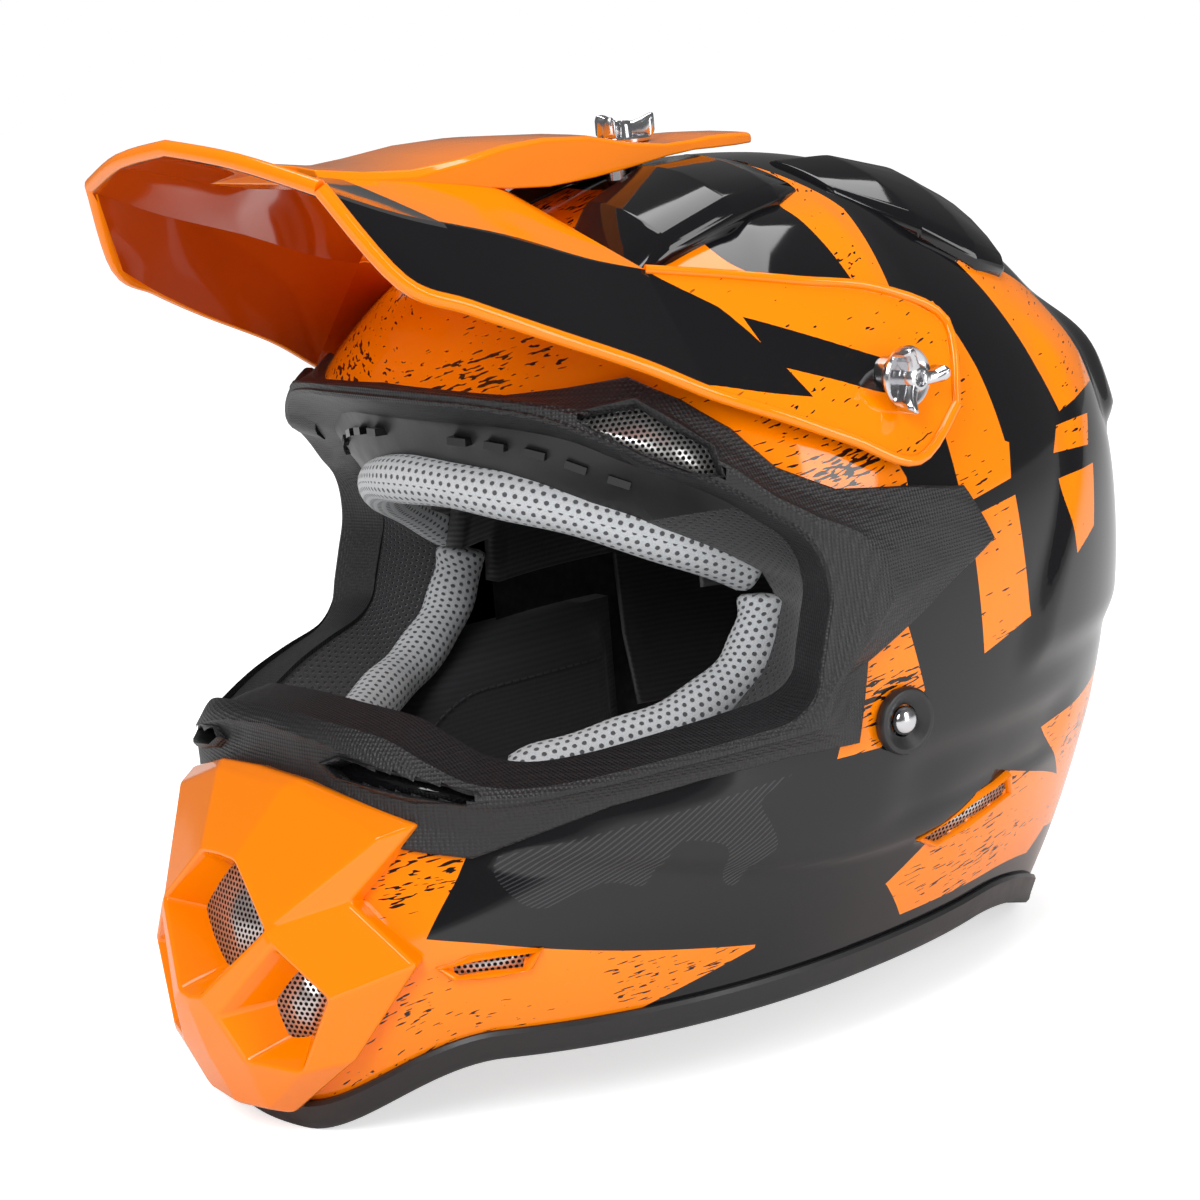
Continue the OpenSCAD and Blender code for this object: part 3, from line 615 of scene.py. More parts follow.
def wire_mesh():
    """Bright sheet with close round holes, on the piece's own run map."""
    looks = Looks("wire_mesh", Metallic=0.85)
    u, v, _ = looks.parts(looks.node("ShaderNodeUVMap", {"uv_map": "run"}))
    pitch = 1.75
    row = (v / (pitch * 0.87)).math("FLOOR")
    x = (u / pitch + (row * 0.5).math("FRACT")).math("FRACT") - 0.5
    y = ((v / (pitch * 0.87)).math("FRACT") - 0.5) * 0.87
    far = (x * x + y * y).math("SQRT")
    hole = looks.ramp(far, (0.29, 1.0), (0.36, 0.0))
    looks.set(Base_Color=looks.tint(hole, (0.62, 0.61, 0.6), (0.012, 0.012, 0.012)),
              Roughness=looks.ramp(hole, (0.0, 0.32), (1.0, 0.8)),
              Normal=looks.bump(1 - hole, 0.3))
    return looks.material


def chrome():
    looks = Looks("bright_chrome", Base_Color=(0.62, 0.62, 0.64), Metallic=1.0)
    looks.set(Roughness=looks.ramp(looks.noise(looks.place(), 160, 2), (0.3, 0.13), (0.7, 0.22)))
    return looks.material


def webbing():
    looks = Looks("strap_webbing")
    place = looks.place()
    weave = looks.node("ShaderNodeTexWave", {"bands_direction": "DIAGONAL"},
                       {"Vector": place, "Scale": 260.0, "Distortion": 0.4})
    looks.set(Base_Color=looks.tint(weave, (0.008, 0.008, 0.009), (0.022, 0.022, 0.024)),
              Roughness=0.7, Normal=looks.bump(weave, 0.3))
    return looks.material


def peak_top():
    """Gloss orange of the peak with its black band and dark front patch."""
    looks = Looks("peak_lacquer")
    _, y, z = looks.parts(looks.place())
    across, along, _ = looks.parts(looks.stored("peak_map"))
    band = looks.inside(along, across, [(-0.1, 2.02), (0.8, 1.96), (2.2, 1.94), (4.0, 2.0), (4.75, 2.25),
                                        (5.6, 2.78), (4.0, 2.93), (0.3, 2.93), (-0.1, 2.6)])
    stripe = looks.inside(along, across, [(5.0, 2.3), (6.9, 2.42), (6.9, 2.62), (5.2, 2.62)])
    front = looks.inside(along, across, [(-0.2, -0.1), (0.6, -0.1), (1.15, 1.0), (1.4, 2.05), (-0.2, 2.05)])
    rearward = looks.ramp(along / 8, (0.5, 0.0), (0.6, 1.0))
    marks = dashes(looks, y * 1000, z * 1000 - y * 300, -0.02) * rearward
    colour = looks.tint(band.most(stripe), ORANGE, BLACK)
    colour = looks.tint(front, colour, (0.045, 0.043, 0.043))
    glossy(looks, looks.tint(marks, colour, MARK))
    return looks.material


paint_shell = livery()
paint_orange = plain_gloss("orange_lacquer", ORANGE)
paint_peak = peak_top()
# The peak's underside: the same gloss orange darkened, as painted shade.
paint_under_shade = plain_gloss("peak_underside_painted_shade", SHADED_ORANGE)
paint_black = plain_gloss("black_lacquer", BLACK)
rubber = grained_rubber()
rubber_smooth = satin_rubber()
cloth_pale = spacer_cloth("spacer_cloth", (0.62, 0.64, 0.66), (0.09, 0.09, 0.1))
cloth_band = spacer_cloth("dark_spacer_cloth", (0.03, 0.03, 0.033), (0.002, 0.002, 0.002), 2.6)
cloth_dark = dark_cloth()
cloth_seam = plain_cloth("seam_thread", (0.05, 0.05, 0.053))
foam = bead_foam()
metal_mesh = wire_mesh()
metal = chrome()
strap_cloth = webbing()

# ---------------------------------------------------------------- eyeport and vent outlines

# Half the eyeport: turn and height of its lip, then of the rubber's outer border beside it.
EYEPORT = [
    (0, 209, 0, 214), (12, 208.5, 13, 213), (23, 207, 25, 211.5), (34, 203, 34, 213),
    (44, 195, 43, 215), (52, 188, 51, 208), (58, 181.5, 58, 199), (63, 174, 64, 187),
    (67, 167.5, 72, 178.5), (69.5, 160, 83, 175.5), (71, 150, 91, 172), (71, 140, 95, 154),
    (71, 131, 86, 139), (71, 122, 78, 127), (68.5, 116, 79, 103), (62, 113, 70, 103.5),
    (54, 110, 60, 101.5), (45, 106.5, 50, 97.5), (38, 105.5, 42, 91.5), (32, 108, 35, 86),
    (26, 114, 25, 89), (20, 119.5, 17, 96), (11, 122.5, 9, 103), (0, 124, 0, 106.5),
]


def eye_lip(fine):
    """The outline closed round, with fine steps between its points: smooth lip, straight border."""
    whole = EYEPORT + [(-a, b, -c, d) for a, b, c, d in EYEPORT[-2:0:-1]]
    n, out = len(whole), []
    for i in range(n):
        a, b, c, d = whole[i - 1], whole[i], whole[(i + 1) % n], whole[(i + 2) % n]
        for s in range(fine):
            u = s / fine
            turn, height = (spline(a[m], b[m], c[m], d[m], u) for m in range(2))
            out.append((turn, height, mix(b[2], c[2], u), mix(b[3], c[3], u)))
    return out


def in_outline(a, z, outline):
    """Whether a turn and height lie inside an outline."""
    hit = False
    for i in range(len(outline)):
        (x0, y0), (x1, y1) = outline[i - 1], outline[i]
        if (y0 > z) != (y1 > z) and a < (x1 - x0) * (z - y0) / (y1 - y0) + x0:
            hit = not hit
    return hit


def fine_outline(outline, steps):
    """The outline with each of its sides cut into steps."""
    ends = outline[1:] + outline[:1]
    return [(mix(p[0], q[0], k / steps), mix(p[1], q[1], k / steps))
            for p, q in zip(outline, ends) for k in range(steps)]


def middle_of(outline):
    n = len(outline)
    return sum(p[0] for p in outline) / n, sum(p[1] for p in outline) / n


def fan(n):
    """Triangles from n points round an outline to the point after them."""
    return [(i, (i + 1) % n, n) for i in range(n)]


BROW_VENT = [(36, 204), (45, 206.5), (55, 194), (56.5, 186), (52, 188), (43, 197)]
CHIN_SLOT = [(12.5, 110), (15, 112), (33, 104.5), (35, 101.5), (32, 101), (15, 107)]
CHIN_SIDE_VENT = [(35, 46), (46, 48), (45, 41), (37, 41)]
REAR_VENT = [(93, 58), (105, 71), (107, 62), (96, 52)]


# ---------------------------------------------------------------- shell

def relief(a, z):
    """How far the lacquered shell stands out or in from the plain skin, by turn and height."""
    a = abs(a)
    out = 0.0
    # Raised rear quarter with a hard front edge.
    edge = mix(101, 113, smooth((z - 110) / 80))
    out += 3.0 * smooth((a - edge) / 5) * smooth((z - 104) / 14) * (1 - smooth((z - 196) / 26))
    # Jaw crease under the rubber, and the hollow over the rear vent.
    line = mix(88, 62, smooth((a - 40) / 50))
    out += 1.8 * smooth((z - line + 6) / 6) * smooth((a - 34) / 12) * (1 - smooth((z - line - 8) / 26)) \
        * (1 - smooth((a - 92) / 12))
    # Rear spoiler.
    out += 5.0 * smooth((a - 134) / 8) * smooth((z - 168) / 8) * (1 - smooth((z - 190) / 30))
    # Raised band over the crown, each side of the middle.
    out += 2.2 * smooth((z - 200) / 24) * smooth((a - 58) / 8) * (1 - smooth((a - 86) / 8)) \
        * (1 - smooth((z - 250) / 12))
    # Step under the rivet, running back to the rear vent.
    out -= 1.6 * smooth((a - 84) / 8) * (1 - smooth((a - 112) / 10)) * smooth((z - 66) / 8) \
        * (1 - smooth((z - 88) / 10))
    return out


def shell():
    columns, rows = 288, 150
    low = find(3.4)
    outline = [((a + c) / 2, (b + d) / 2) for a, b, c, d in eye_lip(4)]
    holes = [outline, CHIN_SIDE_VENT, REAR_VENT, [(-a, z) for a, z in CHIN_SIDE_VENT],
             [(-a, z) for a, z in REAR_VENT]]
    turns = [360 * j / columns - 180 for j in range(columns)]
    ts = [low + (12.97 - low) * i / (rows - 1) for i in range(rows)]
    heights = [level(t)[0] for t in ts]
    verts, wrap = [], []
    for t, z in zip(ts, heights):
        for a in turns:
            p = skin_t(a, t, relief(a, z))
            verts.append(p)
            wrap.append((abs(a), z, math.degrees(math.atan2(abs(p.x), p.z - 140))))

    def keep(i, j):
        z = (heights[i] + heights[min(rows - 1, i + 1)]) / 2
        a = turns[j] + 180 / columns
        return not any(in_outline(a, z, hole) for hole in holes)

    faces = grid_faces(rows, columns, wrap_columns=True, keep=keep)
    top = len(verts)
    verts.append(at(0, 12.995))
    wrap.append((0, 270, 0))
    last = (rows - 1) * columns
    faces += [(last + j, last + (j + 1) % columns, top) for j in range(columns)]
    piece = new_piece("shell", verts, faces)
    tag_points(piece.data, "wrap", wrap)
    for face in piece.data.polygons:
        face.use_smooth = True
    piece.data.materials.append(paint_shell)
    modify(piece, solidify=2.0)
    settle(piece, stands_for=("outer_shell",))


# ---------------------------------------------------------------- rubber trim round the eyeport

def lip_frames(fine):
    """The eyeport's outline with each lip point, its way into the opening and its way outwards."""
    frames = []
    for a, z, c, d in eye_lip(fine):
        p = skin(a, z)
        q = skin(mix(a, c, 0.16), mix(z, d, 0.16))
        frames.append((a, z, c, d, p, (EYE_HEART - p).normalized(), (q - p).normalized()))
    return frames


def trim():
    frames = lip_frames(6)
    # Share of the way from the border to the lip, and height over the skin.
    corners = [(0.0, -0.6), (0.0, 2.0), (0.03, 2.6), (0.3, 3.6),
               (0.6, 6.2), (0.66, 7.4), (0.78, 7.6), (0.95, 6.4)]
    profile = corners[:2]
    for (g, low), (h, high) in zip(corners[2:], corners[3:]):
        steps = max(1, round((h - g) / 0.05))
        profile += [(mix(g, h, k / steps), mix(low, high, k / steps)) for k in range(steps)]
    profile.append(corners[-1])
    bands = len(profile) - 1
    rings = []
    for a, z, c, d, p, deep, out in frames:
        ring = [skin(mix(c, a, g), mix(d, z, g), off) for g, off in profile]
        ring.append(p + deep * -6.6 + out * 0.6)
        ring.append(p + deep * -5.4 - out * 0.4)
        ring.append(p + deep * -1.0)
        ring.append(p + deep * 4.0 + out * -0.4)
        ring.append(p + deep * 12.0 + out * -0.4)
        ring.append(p + deep * 12.0 + out * 2.4)
        rings.append(ring)
    columns = len(rings[0])
    verts = [v for ring in rings for v in ring]
    vents = [BROW_VENT, [(-a, z) for a, z in BROW_VENT], CHIN_SLOT, [(-a, z) for a, z in CHIN_SLOT]]

    def keep(i, j):
        if j >= bands:
            return True
        a0, z0, c0, d0 = frames[i][:4]
        g = (profile[j][0] + profile[j + 1][0]) / 2
        return not any(in_outline(mix(c0, a0, g), mix(d0, z0, g), vent) for vent in vents)

    faces = grid_faces(len(rings), columns, wrap_rows=True, keep=keep)
    piece = mesh_piece("eyeport_rubber", verts, faces, rubber, 24)
    settle(piece, stands_for=("eyeport_trim",))


def framed_vent(name, outline, off, lip, material, plate=None, stands_for=(), rise=1.6, sunk=2.6):
    """A raised rim round an outline on the skin, with a plate set in it."""
    dense, middle = fine_outline(outline, 5), middle_of(outline)
    for s, end in SIDES:
        rings = []
        for a, z in dense:
            inner = skin(a, z, 0)
            away = skin(a + (a - middle[0]) * 0.1, z + (z - middle[1]) * 0.1, 0) - inner
            away.normalize()
            up = outward(a, find(z))
            section = [(-0.2, -4), (-0.2, off), (0.5, off + rise * 0.8), (1.1, off + rise),
                       (1.8, off + rise * 0.7), (lip + 0.6, off - 0.6), (lip, -4)]
            rings.append(sided([inner + away * x + up * h for x, h in section], s))
        rim = loft(f"{name}_rim_{end}", rings, material, closed=True, smooth_to=60)
        settle(rim)
        edge = [skin(a, z, off - sunk) for a, z in dense]
        heart = skin(*middle, off - sunk + 0.4)
        pts = sided(edge + [heart], s)
        mesh = mesh_piece(f"{name}_plate_{end}", pts, fan(len(edge)), plate or metal_mesh, 80)
        modify(mesh, solidify=1.0)
        along = (skin(middle[0] + 2, middle[1]) - skin(*middle)).normalized()
        across = outward(middle[0], find(middle[1])).cross(along)
        if s < 0:
            along, across = flip(along), flip(across)
        line_map(mesh, lambda p: p.dot(along) + 200, lambda p: p.dot(across) + 200)
        settle(mesh, stands_for=(f"{stands_for}_{end}",) if stands_for else ())


# ---------------------------------------------------------------- bottom rubber

def rim():
    columns = 240
    section = [(1.6, 0), (2.9, 1.2), (3.4, 3.5), (3.1, 8.2), (2.0, 9.4),
               (0.2, 9.6), (0.2, 6), (-5, 6), (-5.9, 1.6), (-5, 0)]
    rings = []
    for j in range(columns):
        a = 360 * j / columns - 180
        ring = []
        for off, up in section:
            p = skin(a, max(3.0, up), off)
            ring.append(Vector((p.x, p.y, up + arch(a) * (1 - 3 / 80))))
        rings.append(ring)
    piece = loft("bottom_rubber", rings, rubber_smooth, closed=True, smooth_to=38)
    settle(piece, stands_for=("bottom_rim",))


# ---------------------------------------------------------------- chin cover

# Corners of half the chin cover: distance from the middle, height and rise over the skin.
CHIN = {
    "border": [(0, 107, 6.5), (20, 105.5, 7), (55, 95.5, 5.5), (42, 73.5, 6.5), (59, 51, 6.5), (40, 23, 6.5),
               (17, 10, 7), (0, 8.5, 7)],
    "ridge": [(0, 103, 8), (16, 103, 9.5), (48, 91.5, 9.5), (23, 65, 15), (40, 46, 12.5), (29, 26, 13),
              (13, 14, 11.5), (0, 13, 11.5)],
    "shield": [(0, 82, 13.5), (7.5, 81.5, 13.5), (23, 65, 15), (4, 46, 18.5), (0, 45.5, 18.5)],
    "shield_floor": [(0, 79, 3), (5.5, 78.5, 3), (18, 64, 3), (2, 51, 3), (0, 51, 3)],
    "port": [(25.5, 61, 14.5), (40, 46, 12.5), (29, 26, 13), (14, 30, 14.5), (9, 42, 17.5)],
    "port_floor": [(28, 54, 3), (36, 46, 3), (29, 33, 3), (22, 33, 3), (19, 44, 3)],
    "post": [(0, 41, 18), (0, 29, 15)],
}


def chin_cover():
    """Faceted cover of the chin: a shield-shaped port over two lower ports, with a post between them."""
    verts, at_corner = [], {}
    for part, corners in CHIN.items():
        for k, (x, z, rise) in enumerate(corners):
            at_corner[part, k] = len(verts)
            verts.append(on_front(x, z, rise))
    for k, (x, z, _) in enumerate(CHIN["border"]):
        at_corner["skirt", k] = len(verts)
        verts.append(on_front(x * 1.012, 55 + (z - 55) * 1.015, -0.8))

    def quad(*corners):
        return tuple(at_corner[c] for c in corners)

    b, r, s, f, p, g = "border", "ridge", "shield", "shield_floor", "port", "port_floor"
    faces = [quad((b, k), (b, k + 1), ("skirt", k + 1), ("skirt", k)) for k in range(7)]
    faces += [quad((b, k), (b, k + 1), (r, k + 1), (r, k)) for k in range(7)]
    faces += [quad((s, k), (s, k + 1), (f, k + 1), (f, k)) for k in range(4)]
    faces += [quad((p, k), (p, (k + 1) % 5), (g, (k + 1) % 5), (g, k)) for k in range(5)]
    faces += [
        quad((r, 0), (r, 1), (s, 1), (s, 0)), quad((r, 1), (r, 2), (s, 2), (s, 1)),
        quad((s, 2), (p, 0), (p, 1)), quad((s, 3), (p, 4), (p, 0), (s, 2)),
        quad((s, 3), (s, 4), ("post", 0), (p, 4)), quad((p, 4), ("post", 0), ("post", 1), (p, 3)),
        quad((p, 3), ("post", 1), (r, 7), (r, 6)), quad((p, 2), (p, 3), (r, 6)),
    ]
    n = len(verts)
    faces += [tuple(n + i for i in reversed(face)) for face in faces]
    piece = mesh_piece("chin_guard", verts + [flip(v) for v in verts], faces, paint_orange, 180, weld=0.05)
    modify(piece, bevel=1.2)
    settle(piece, stands_for=("chin_cover",))
    shield = [(x, z) for x, z, _ in CHIN["shield_floor"]]
    port = [(x, z) for x, z, _ in CHIN["port_floor"]]
    chin_mesh("shield", shield + [(-x, z) for x, z in shield[-2:0:-1]])
    chin_mesh("left", port)
    chin_mesh("right", [(-x, z) for x, z in port])


def chin_mesh(name, outline):
    """Wire mesh over the floor of a port, tucked in behind its walls."""
    cx, cz = middle_of(outline)
    wide = [(cx + (x - cx) * 1.12, cz + (z - cz) * 1.12) for x, z in outline]
    dense = fine_outline(wide, 4)
    verts = [on_front(x, z, 3.2) for x, z in dense + [(cx, cz)]]
    piece = mesh_piece(f"chin_mesh_{name}", verts, fan(len(dense)), metal_mesh, 80)
    modify(piece, solidify=0.8)
    line_map(piece, lambda p: p.x + 200, lambda p: p.z + 200)
    settle(piece, stands_for=("chin_cover_mesh",))


# ---------------------------------------------------------------- peak

# From the middle to the side edge: middle, crease, shoulder, side edge.
PEAK_ROWS = [
    [(0, -181, 293), (30, -178, 289), (59, -171, 281), (73, -157, 254)],
    [(0, -150, 285), (31, -148, 281), (62, -146, 271), (80, -140, 245)],
    [(0, -118, 280), (33, -116, 276.5), (67, -114, 261), (87, -119, 235)],
    [(0, -90, 278.5), (34, -92, 272), (70, -87, 251), (93, -90, 222)],
    [(0, -78, 278), (31, -80, 268), (72, -68, 246), (100, -70, 211)],
]
WING_ROWS = [
    [(72, -68, 246), (100, -70, 211)], [(82, -46, 242), (111, -52, 202)],
    [(94, -27, 238), (119, -34, 193)], [(104, -4, 233), (126, -14, 184)],
    [(113, 15, 221), (122, 8, 197)],
]


def peak_sheet(rows, along0=0.0, across0=0.0):
    """A smooth sheet through rows of points, kept sharp along each column of points."""
    fine, columns = 6, len(rows[0])
    verts, tags = [], []
    lines = [curve_points([row[c] for row in rows], fine) for c in range(columns)]
    count = len(lines[0])
    for i in range(count):
        for c in range(columns):
            last = c == columns - 1
            for s in range(1 if last else 4):
                u = s / 4
                verts.append(lines[c][i].lerp(lines[min(columns - 1, c + 1)][i], u))
                tags.append((across0 + c + u, along0 + i / fine, 0))
    return verts, tags, grid_faces(count, (columns - 1) * 4 + 1)


def join_sheets(name, sheets, wall):
    """One welded sheet with a wall, lacquered above, with a darker orange below that is painted shade."""
    verts, tags, faces = [], [], []
    for v, t, f in sheets:
        base = len(verts)
        verts += v
        tags += t
        faces += [tuple(base + i for i in face) for face in f]
    piece = new_piece(name, verts, faces)
    tag_points(piece.data, "peak_map", tags)
    with editing(piece.data) as bm:
        bmesh.ops.remove_doubles(bm, verts=bm.verts, dist=0.2 * MM)
        bmesh.ops.recalc_face_normals(bm, faces=bm.faces)
        if sum(f.normal.z * f.calc_area() for f in bm.faces) < 0:
            bmesh.ops.reverse_faces(bm, faces=bm.faces)
    piece.data.materials.append(paint_peak)
    # Second material, on the underside: the orange darkened as painted shade.
    piece.data.materials.append(paint_under_shade)
    m = piece.modifiers.new("wall", "SOLIDIFY")
    m.thickness, m.offset, m.use_even_offset = wall * MM, -1, True
    m.material_offset = 1
    modify(piece)
    soften(piece, 14)
    return piece


def mirror_sheet(sheet):
    verts, tags, faces = sheet
    return [flip(v) for v in verts], tags, [tuple(reversed(f)) for f in faces]


def bead(name, line, radius):
    """A rolled edge of the peak."""
    settle(loft(name, tube_rings(line, radius), paint_orange, smooth_to=60), "peak")


def peak():
    blade = peak_sheet(PEAK_ROWS)
    wing = peak_sheet(WING_ROWS, along0=4.0, across0=2.0)
    piece = join_sheets("peak_blade", [blade, mirror_sheet(blade), wing, mirror_sheet(wing)], 2.4)
    settle(piece, "peak", stands_for=("peak",))
    # Rolled beads along the front, side and wing edges.
    half = PEAK_ROWS[0][:3]
    edge = half[2:] + [row[3] for row in PEAK_ROWS[:4]] + [row[1] for row in WING_ROWS]
    rear = [row[0] for row in WING_ROWS] + WING_ROWS[-1][1:]
    bead("peak_front_bead", curve_points(sided(half[::-1], -1), 5)[:-1] + curve_points(half, 5), 2.4)
    for s, end in SIDES:
        bead(f"peak_side_bead_{end}", sided(curve_points(edge, 6), s), lambda u: mix(2.4, 1.6, u))
        bead(f"peak_wing_bead_{end}", sided(curve_points(rear, 5), s), 1.5)
    # Tongue that rises over the blade and runs back to the top screw.
    # Place along, half width, top, fall of the top to its edges and depth of the side walls.
    rows = [
        (-150, 29, 285.5, 4.2, 2), (-134, 31, 283.2, 4.2, 3), (-118, 32.5, 282, 3.8, 4),
        (-100, 32, 282.8, 2.6, 7), (-82, 30, 284.6, 1.8, 12), (-64, 27, 285, 1.6, 14),
        (-44, 24.5, 283.6, 1.6, 12), (-27, 23, 280, 1.6, 7), (-11, 22, 277.6, 0.8, 3.6),
        (1, 22, 277.6, 0.8, 2.8), (8, 22, 278.4, 1.2, 3.4), (20, 21, 278.2, 1.4, 3.2),
        (28, 19, 277.6, 1.4, 2.6), (30, 17, 276.6, 1.0, 1.6),
    ]
    crown = [(-1, 0), (-0.93, 0.56), (-0.6, 0.8), (0, 1), (0.6, 0.8), (0.93, 0.56), (1, 0)]
    rings = []
    for y, w, top, fall, deep in rows:
        ring = [Vector((w * x, y, top - fall * (1 - h))) for x, h in crown]
        rings.append(ring + [Vector((s * w, y, top - fall - deep)) for s in (1, -1)])
    tongue = loft("peak_tongue", rings, paint_orange, smooth_to=24)
    modify(tongue, bevel=0.9)
    settle(tongue, "peak")


# ---------------------------------------------------------------- screws, rivets

def disc_rings(profile, sides=48):
    """Rings turned round the Z axis from radii and heights."""
    turns = [2 * math.pi * j / sides for j in range(sides)]
    return [[Vector((r * math.cos(turn), r * math.sin(turn), z)) for turn in turns] for r, z in profile]


def placed(piece, origin, axis, spin=0.0):
    turn = Vector(axis).to_track_quat("Z", "Y").to_matrix().to_4x4()
    piece.data.transform(Matrix.Translation(Vector(origin) * MM) @ turn @ Matrix.Rotation(spin, 4, "Z"))


def knob(name, body, origin, axis, spin, node):
    """Cast three-arm thumb screw on a round dished flange."""
    flange = [(0.1, -3), (3, -3), (3, 0.05), (8.6, 0.05), (9.4, 0.5), (9.5, 1.4), (9.0, 2.1), (7.6, 2.2),
              (6.4, 1.7), (4.4, 1.9), (4.2, 5.5), (3.6, 6.6), (2.6, 6.9), (2.5, 5.2), (0.1, 4.6)]
    # Distance out, half width, bottom, top and sweep of an arm, section by section.
    arm_rows = [(1.5, 2.6, 1.6, 6.6, 0), (4.2, 2.2, 1.5, 6.8, 2), (6.8, 1.9, 1.3, 7.6, 5),
                (9.2, 2.3, 1.6, 8.6, 9), (10.4, 2.1, 2.4, 8.9, 12), (10.9, 1.2, 3.4, 8.6, 13)]
    section = [(-1, 0), (-1, 0.75), (-0.55, 1), (0.55, 1), (1, 0.75), (1, 0)]
    base = loft(f"{name}_flange", disc_rings(flange), metal, smooth_to=40)
    placed(base, origin, axis, spin)
    settle(base, body, stands_for=(node,))
    for i in range(3):
        rings = []
        for r, w, lo, hi, twist in arm_rows:
            angle = math.radians(90 + 120 * i + twist)
            out = Vector((math.cos(angle), math.sin(angle), 0))
            side = Vector((-out.y, out.x, 0))
            rings.append([out * r + side * w * x + Vector((0, 0, mix(lo, hi, h))) for x, h in section])
        arm = loft(f"{name}_arm_{i + 1}", rings, metal, smooth_to=40)
        modify(arm, bevel=0.35)
        soften(arm, 40)
        placed(arm, origin, axis, spin)
        settle(arm, body)


def rivet(s, end):
    """Strap rivet in a dished plastic washer."""
    p = skin(85, 106)
    origin, axis = (s * p.x, p.y, p.z), (s, -0.1, -0.02)
    ring = [(5.0, 0.2), (9.9, 0.2), (10.4, 1.2), (10.4, 3.0), (9.9, 3.9), (9.0, 4.2), (8.2, 3.9),
            (5.4, 1.8), (5.0, 1.6)]
    washer = loft(f"strap_washer_{end}", disc_rings(ring), rubber_smooth, closed=True, smooth_to=40)
    placed(washer, origin, axis)
    settle(washer, stands_for=(f"strap_ring_{end}",))
    head = [(0.05, -4), (2.9, -4), (2.9, 0.8), (4.4, 1.0), (4.5, 2.0), (4.0, 3.2), (2.8, 4.0),
            (1.4, 4.4), (0.05, 4.5)]
    top = loft(f"strap_rivet_head_{end}", disc_rings(head, 36), metal, smooth_to=40)
    placed(top, origin, axis)
    settle(top, stands_for=(f"strap_rivet_{end}",))


# ---------------------------------------------------------------- padding

# Half width, length and height of the crown lining's hollow, and its middle.
HEAD = (82, 106, 104)
HEAD_Y, HEAD_MID = 8, 128


def egg(a, u, inside):
    """Point of the hollow, a degrees round and u degrees up, so far inside it."""
    w, l, h = HEAD[0] - inside, HEAD[1] - inside, HEAD[2] - inside
    ca, sa = math.cos(math.radians(a)), math.sin(math.radians(a))
    cu, su = math.cos(math.radians(u)), math.sin(math.radians(u))
    return Vector((w * sa * cu, HEAD_Y - l * ca * cu, HEAD_MID + h * su))


BROW = [(0, -101, 183), (22, -98, 181.5), (42, -88, 177), (58, -73, 169), (70, -53, 159), (75, -36, 149)]
CHEEK = [(75.8, -33, 142), (76, -36, 132), (74.5, -45, 119), (69, -63, 108.5), (60, -84, 103),
         (49, -103, 99), (43, -111, 96)]
PUFF = 0.35


def pad_roll(name, line, radius, material, stands_for):
    """A tightly stuffed roll along a line, puffed a little between its seams, with rounded ends."""
    sides = 20
    length = [0.0]
    for a, b in zip(line, line[1:]):
        length.append(length[-1] + (b - a).length)
    whole = length[-1]

    def size(u):
        end = min(u, 1 - u) * whole
        rounded = math.sqrt(max(0.02, 1 - max(0, 1 - end / 5) ** 2))
        return radius * rounded * (1 + PUFF / radius * math.sin(u * 31))

    piece = loft(name, tube_rings(line, size, sides), material, smooth_to=80)
    run_map(piece, sides, (0, sides),
            lambda row, column: (length[row] + 100, column / sides * 2 * math.pi * radius + 50))
    settle(piece, stands_for=stands_for)


def padding():
    brow = [flip(p) for p in BROW[:0:-1]] + [Vector(p) for p in BROW]
    pad_roll("brow_cushion", curve_points(brow, 8), 7.6, cloth_pale, ("brow_pad",))
    for s, end in SIDES:
        line = curve_points([(s * x, y, z) for x, y, z in CHEEK], 8)
        pad_roll(f"cheek_cushion_{end}", line, 8.2, cloth_pale, (f"cheek_roll_{end}",))
        cheek_pad(s, end)
    # Crown lining, open to the face.
    columns = 96
    rings = []
    for u in (88, 80, 70, 60, 50, 40, 30, 20, 10, 0, -18, -34):
        rings.append([egg(360 * j / columns - 180, u, 9) for j in range(columns)])

    def keep(i, j):
        a = 360 * (j + 0.5) / columns - 180
        p = rings[i][j]
        return not (abs(a) < 72 and p.z < 176 - max(0, abs(a) - 40) * 0.9) and not (abs(a) < 105 and i > 8)

    verts = [p for ring in rings for p in ring]
    piece = mesh_piece("crown_lining", verts, grid_faces(len(rings), columns, wrap_columns=True, keep=keep),
                       cloth_dark, 80)
    modify(piece, solidify=-6.0)
    settle(piece, stands_for=("crown_liner",))
    nape = []
    for i in range(25):
        a = 122 + 116 * i / 24
        b = a if a <= 180 else a - 360
        p = skin(b, 40, -14.4)
        nape.append(Vector((p.x, p.y, skin(b, 48).z - 8.4)))
    pad_roll("nape_cushion", nape, 8.2, cloth_dark, ("neck_roll",))


def pad_top(y):
    return mix(82, 112, smooth((y + 104) / 62))


def pad_depth(y, edge, end):
    """Distance of the pad's inner face from the middle, quilted and leaning in at the front."""
    swell = smooth(min(1, edge)) * smooth(min(1, end))
    return 74 - 14 * swell - 1.2 * abs(math.sin((y + 40) / 26)) * swell - 7.8 * smooth((-y - 55) / 50)


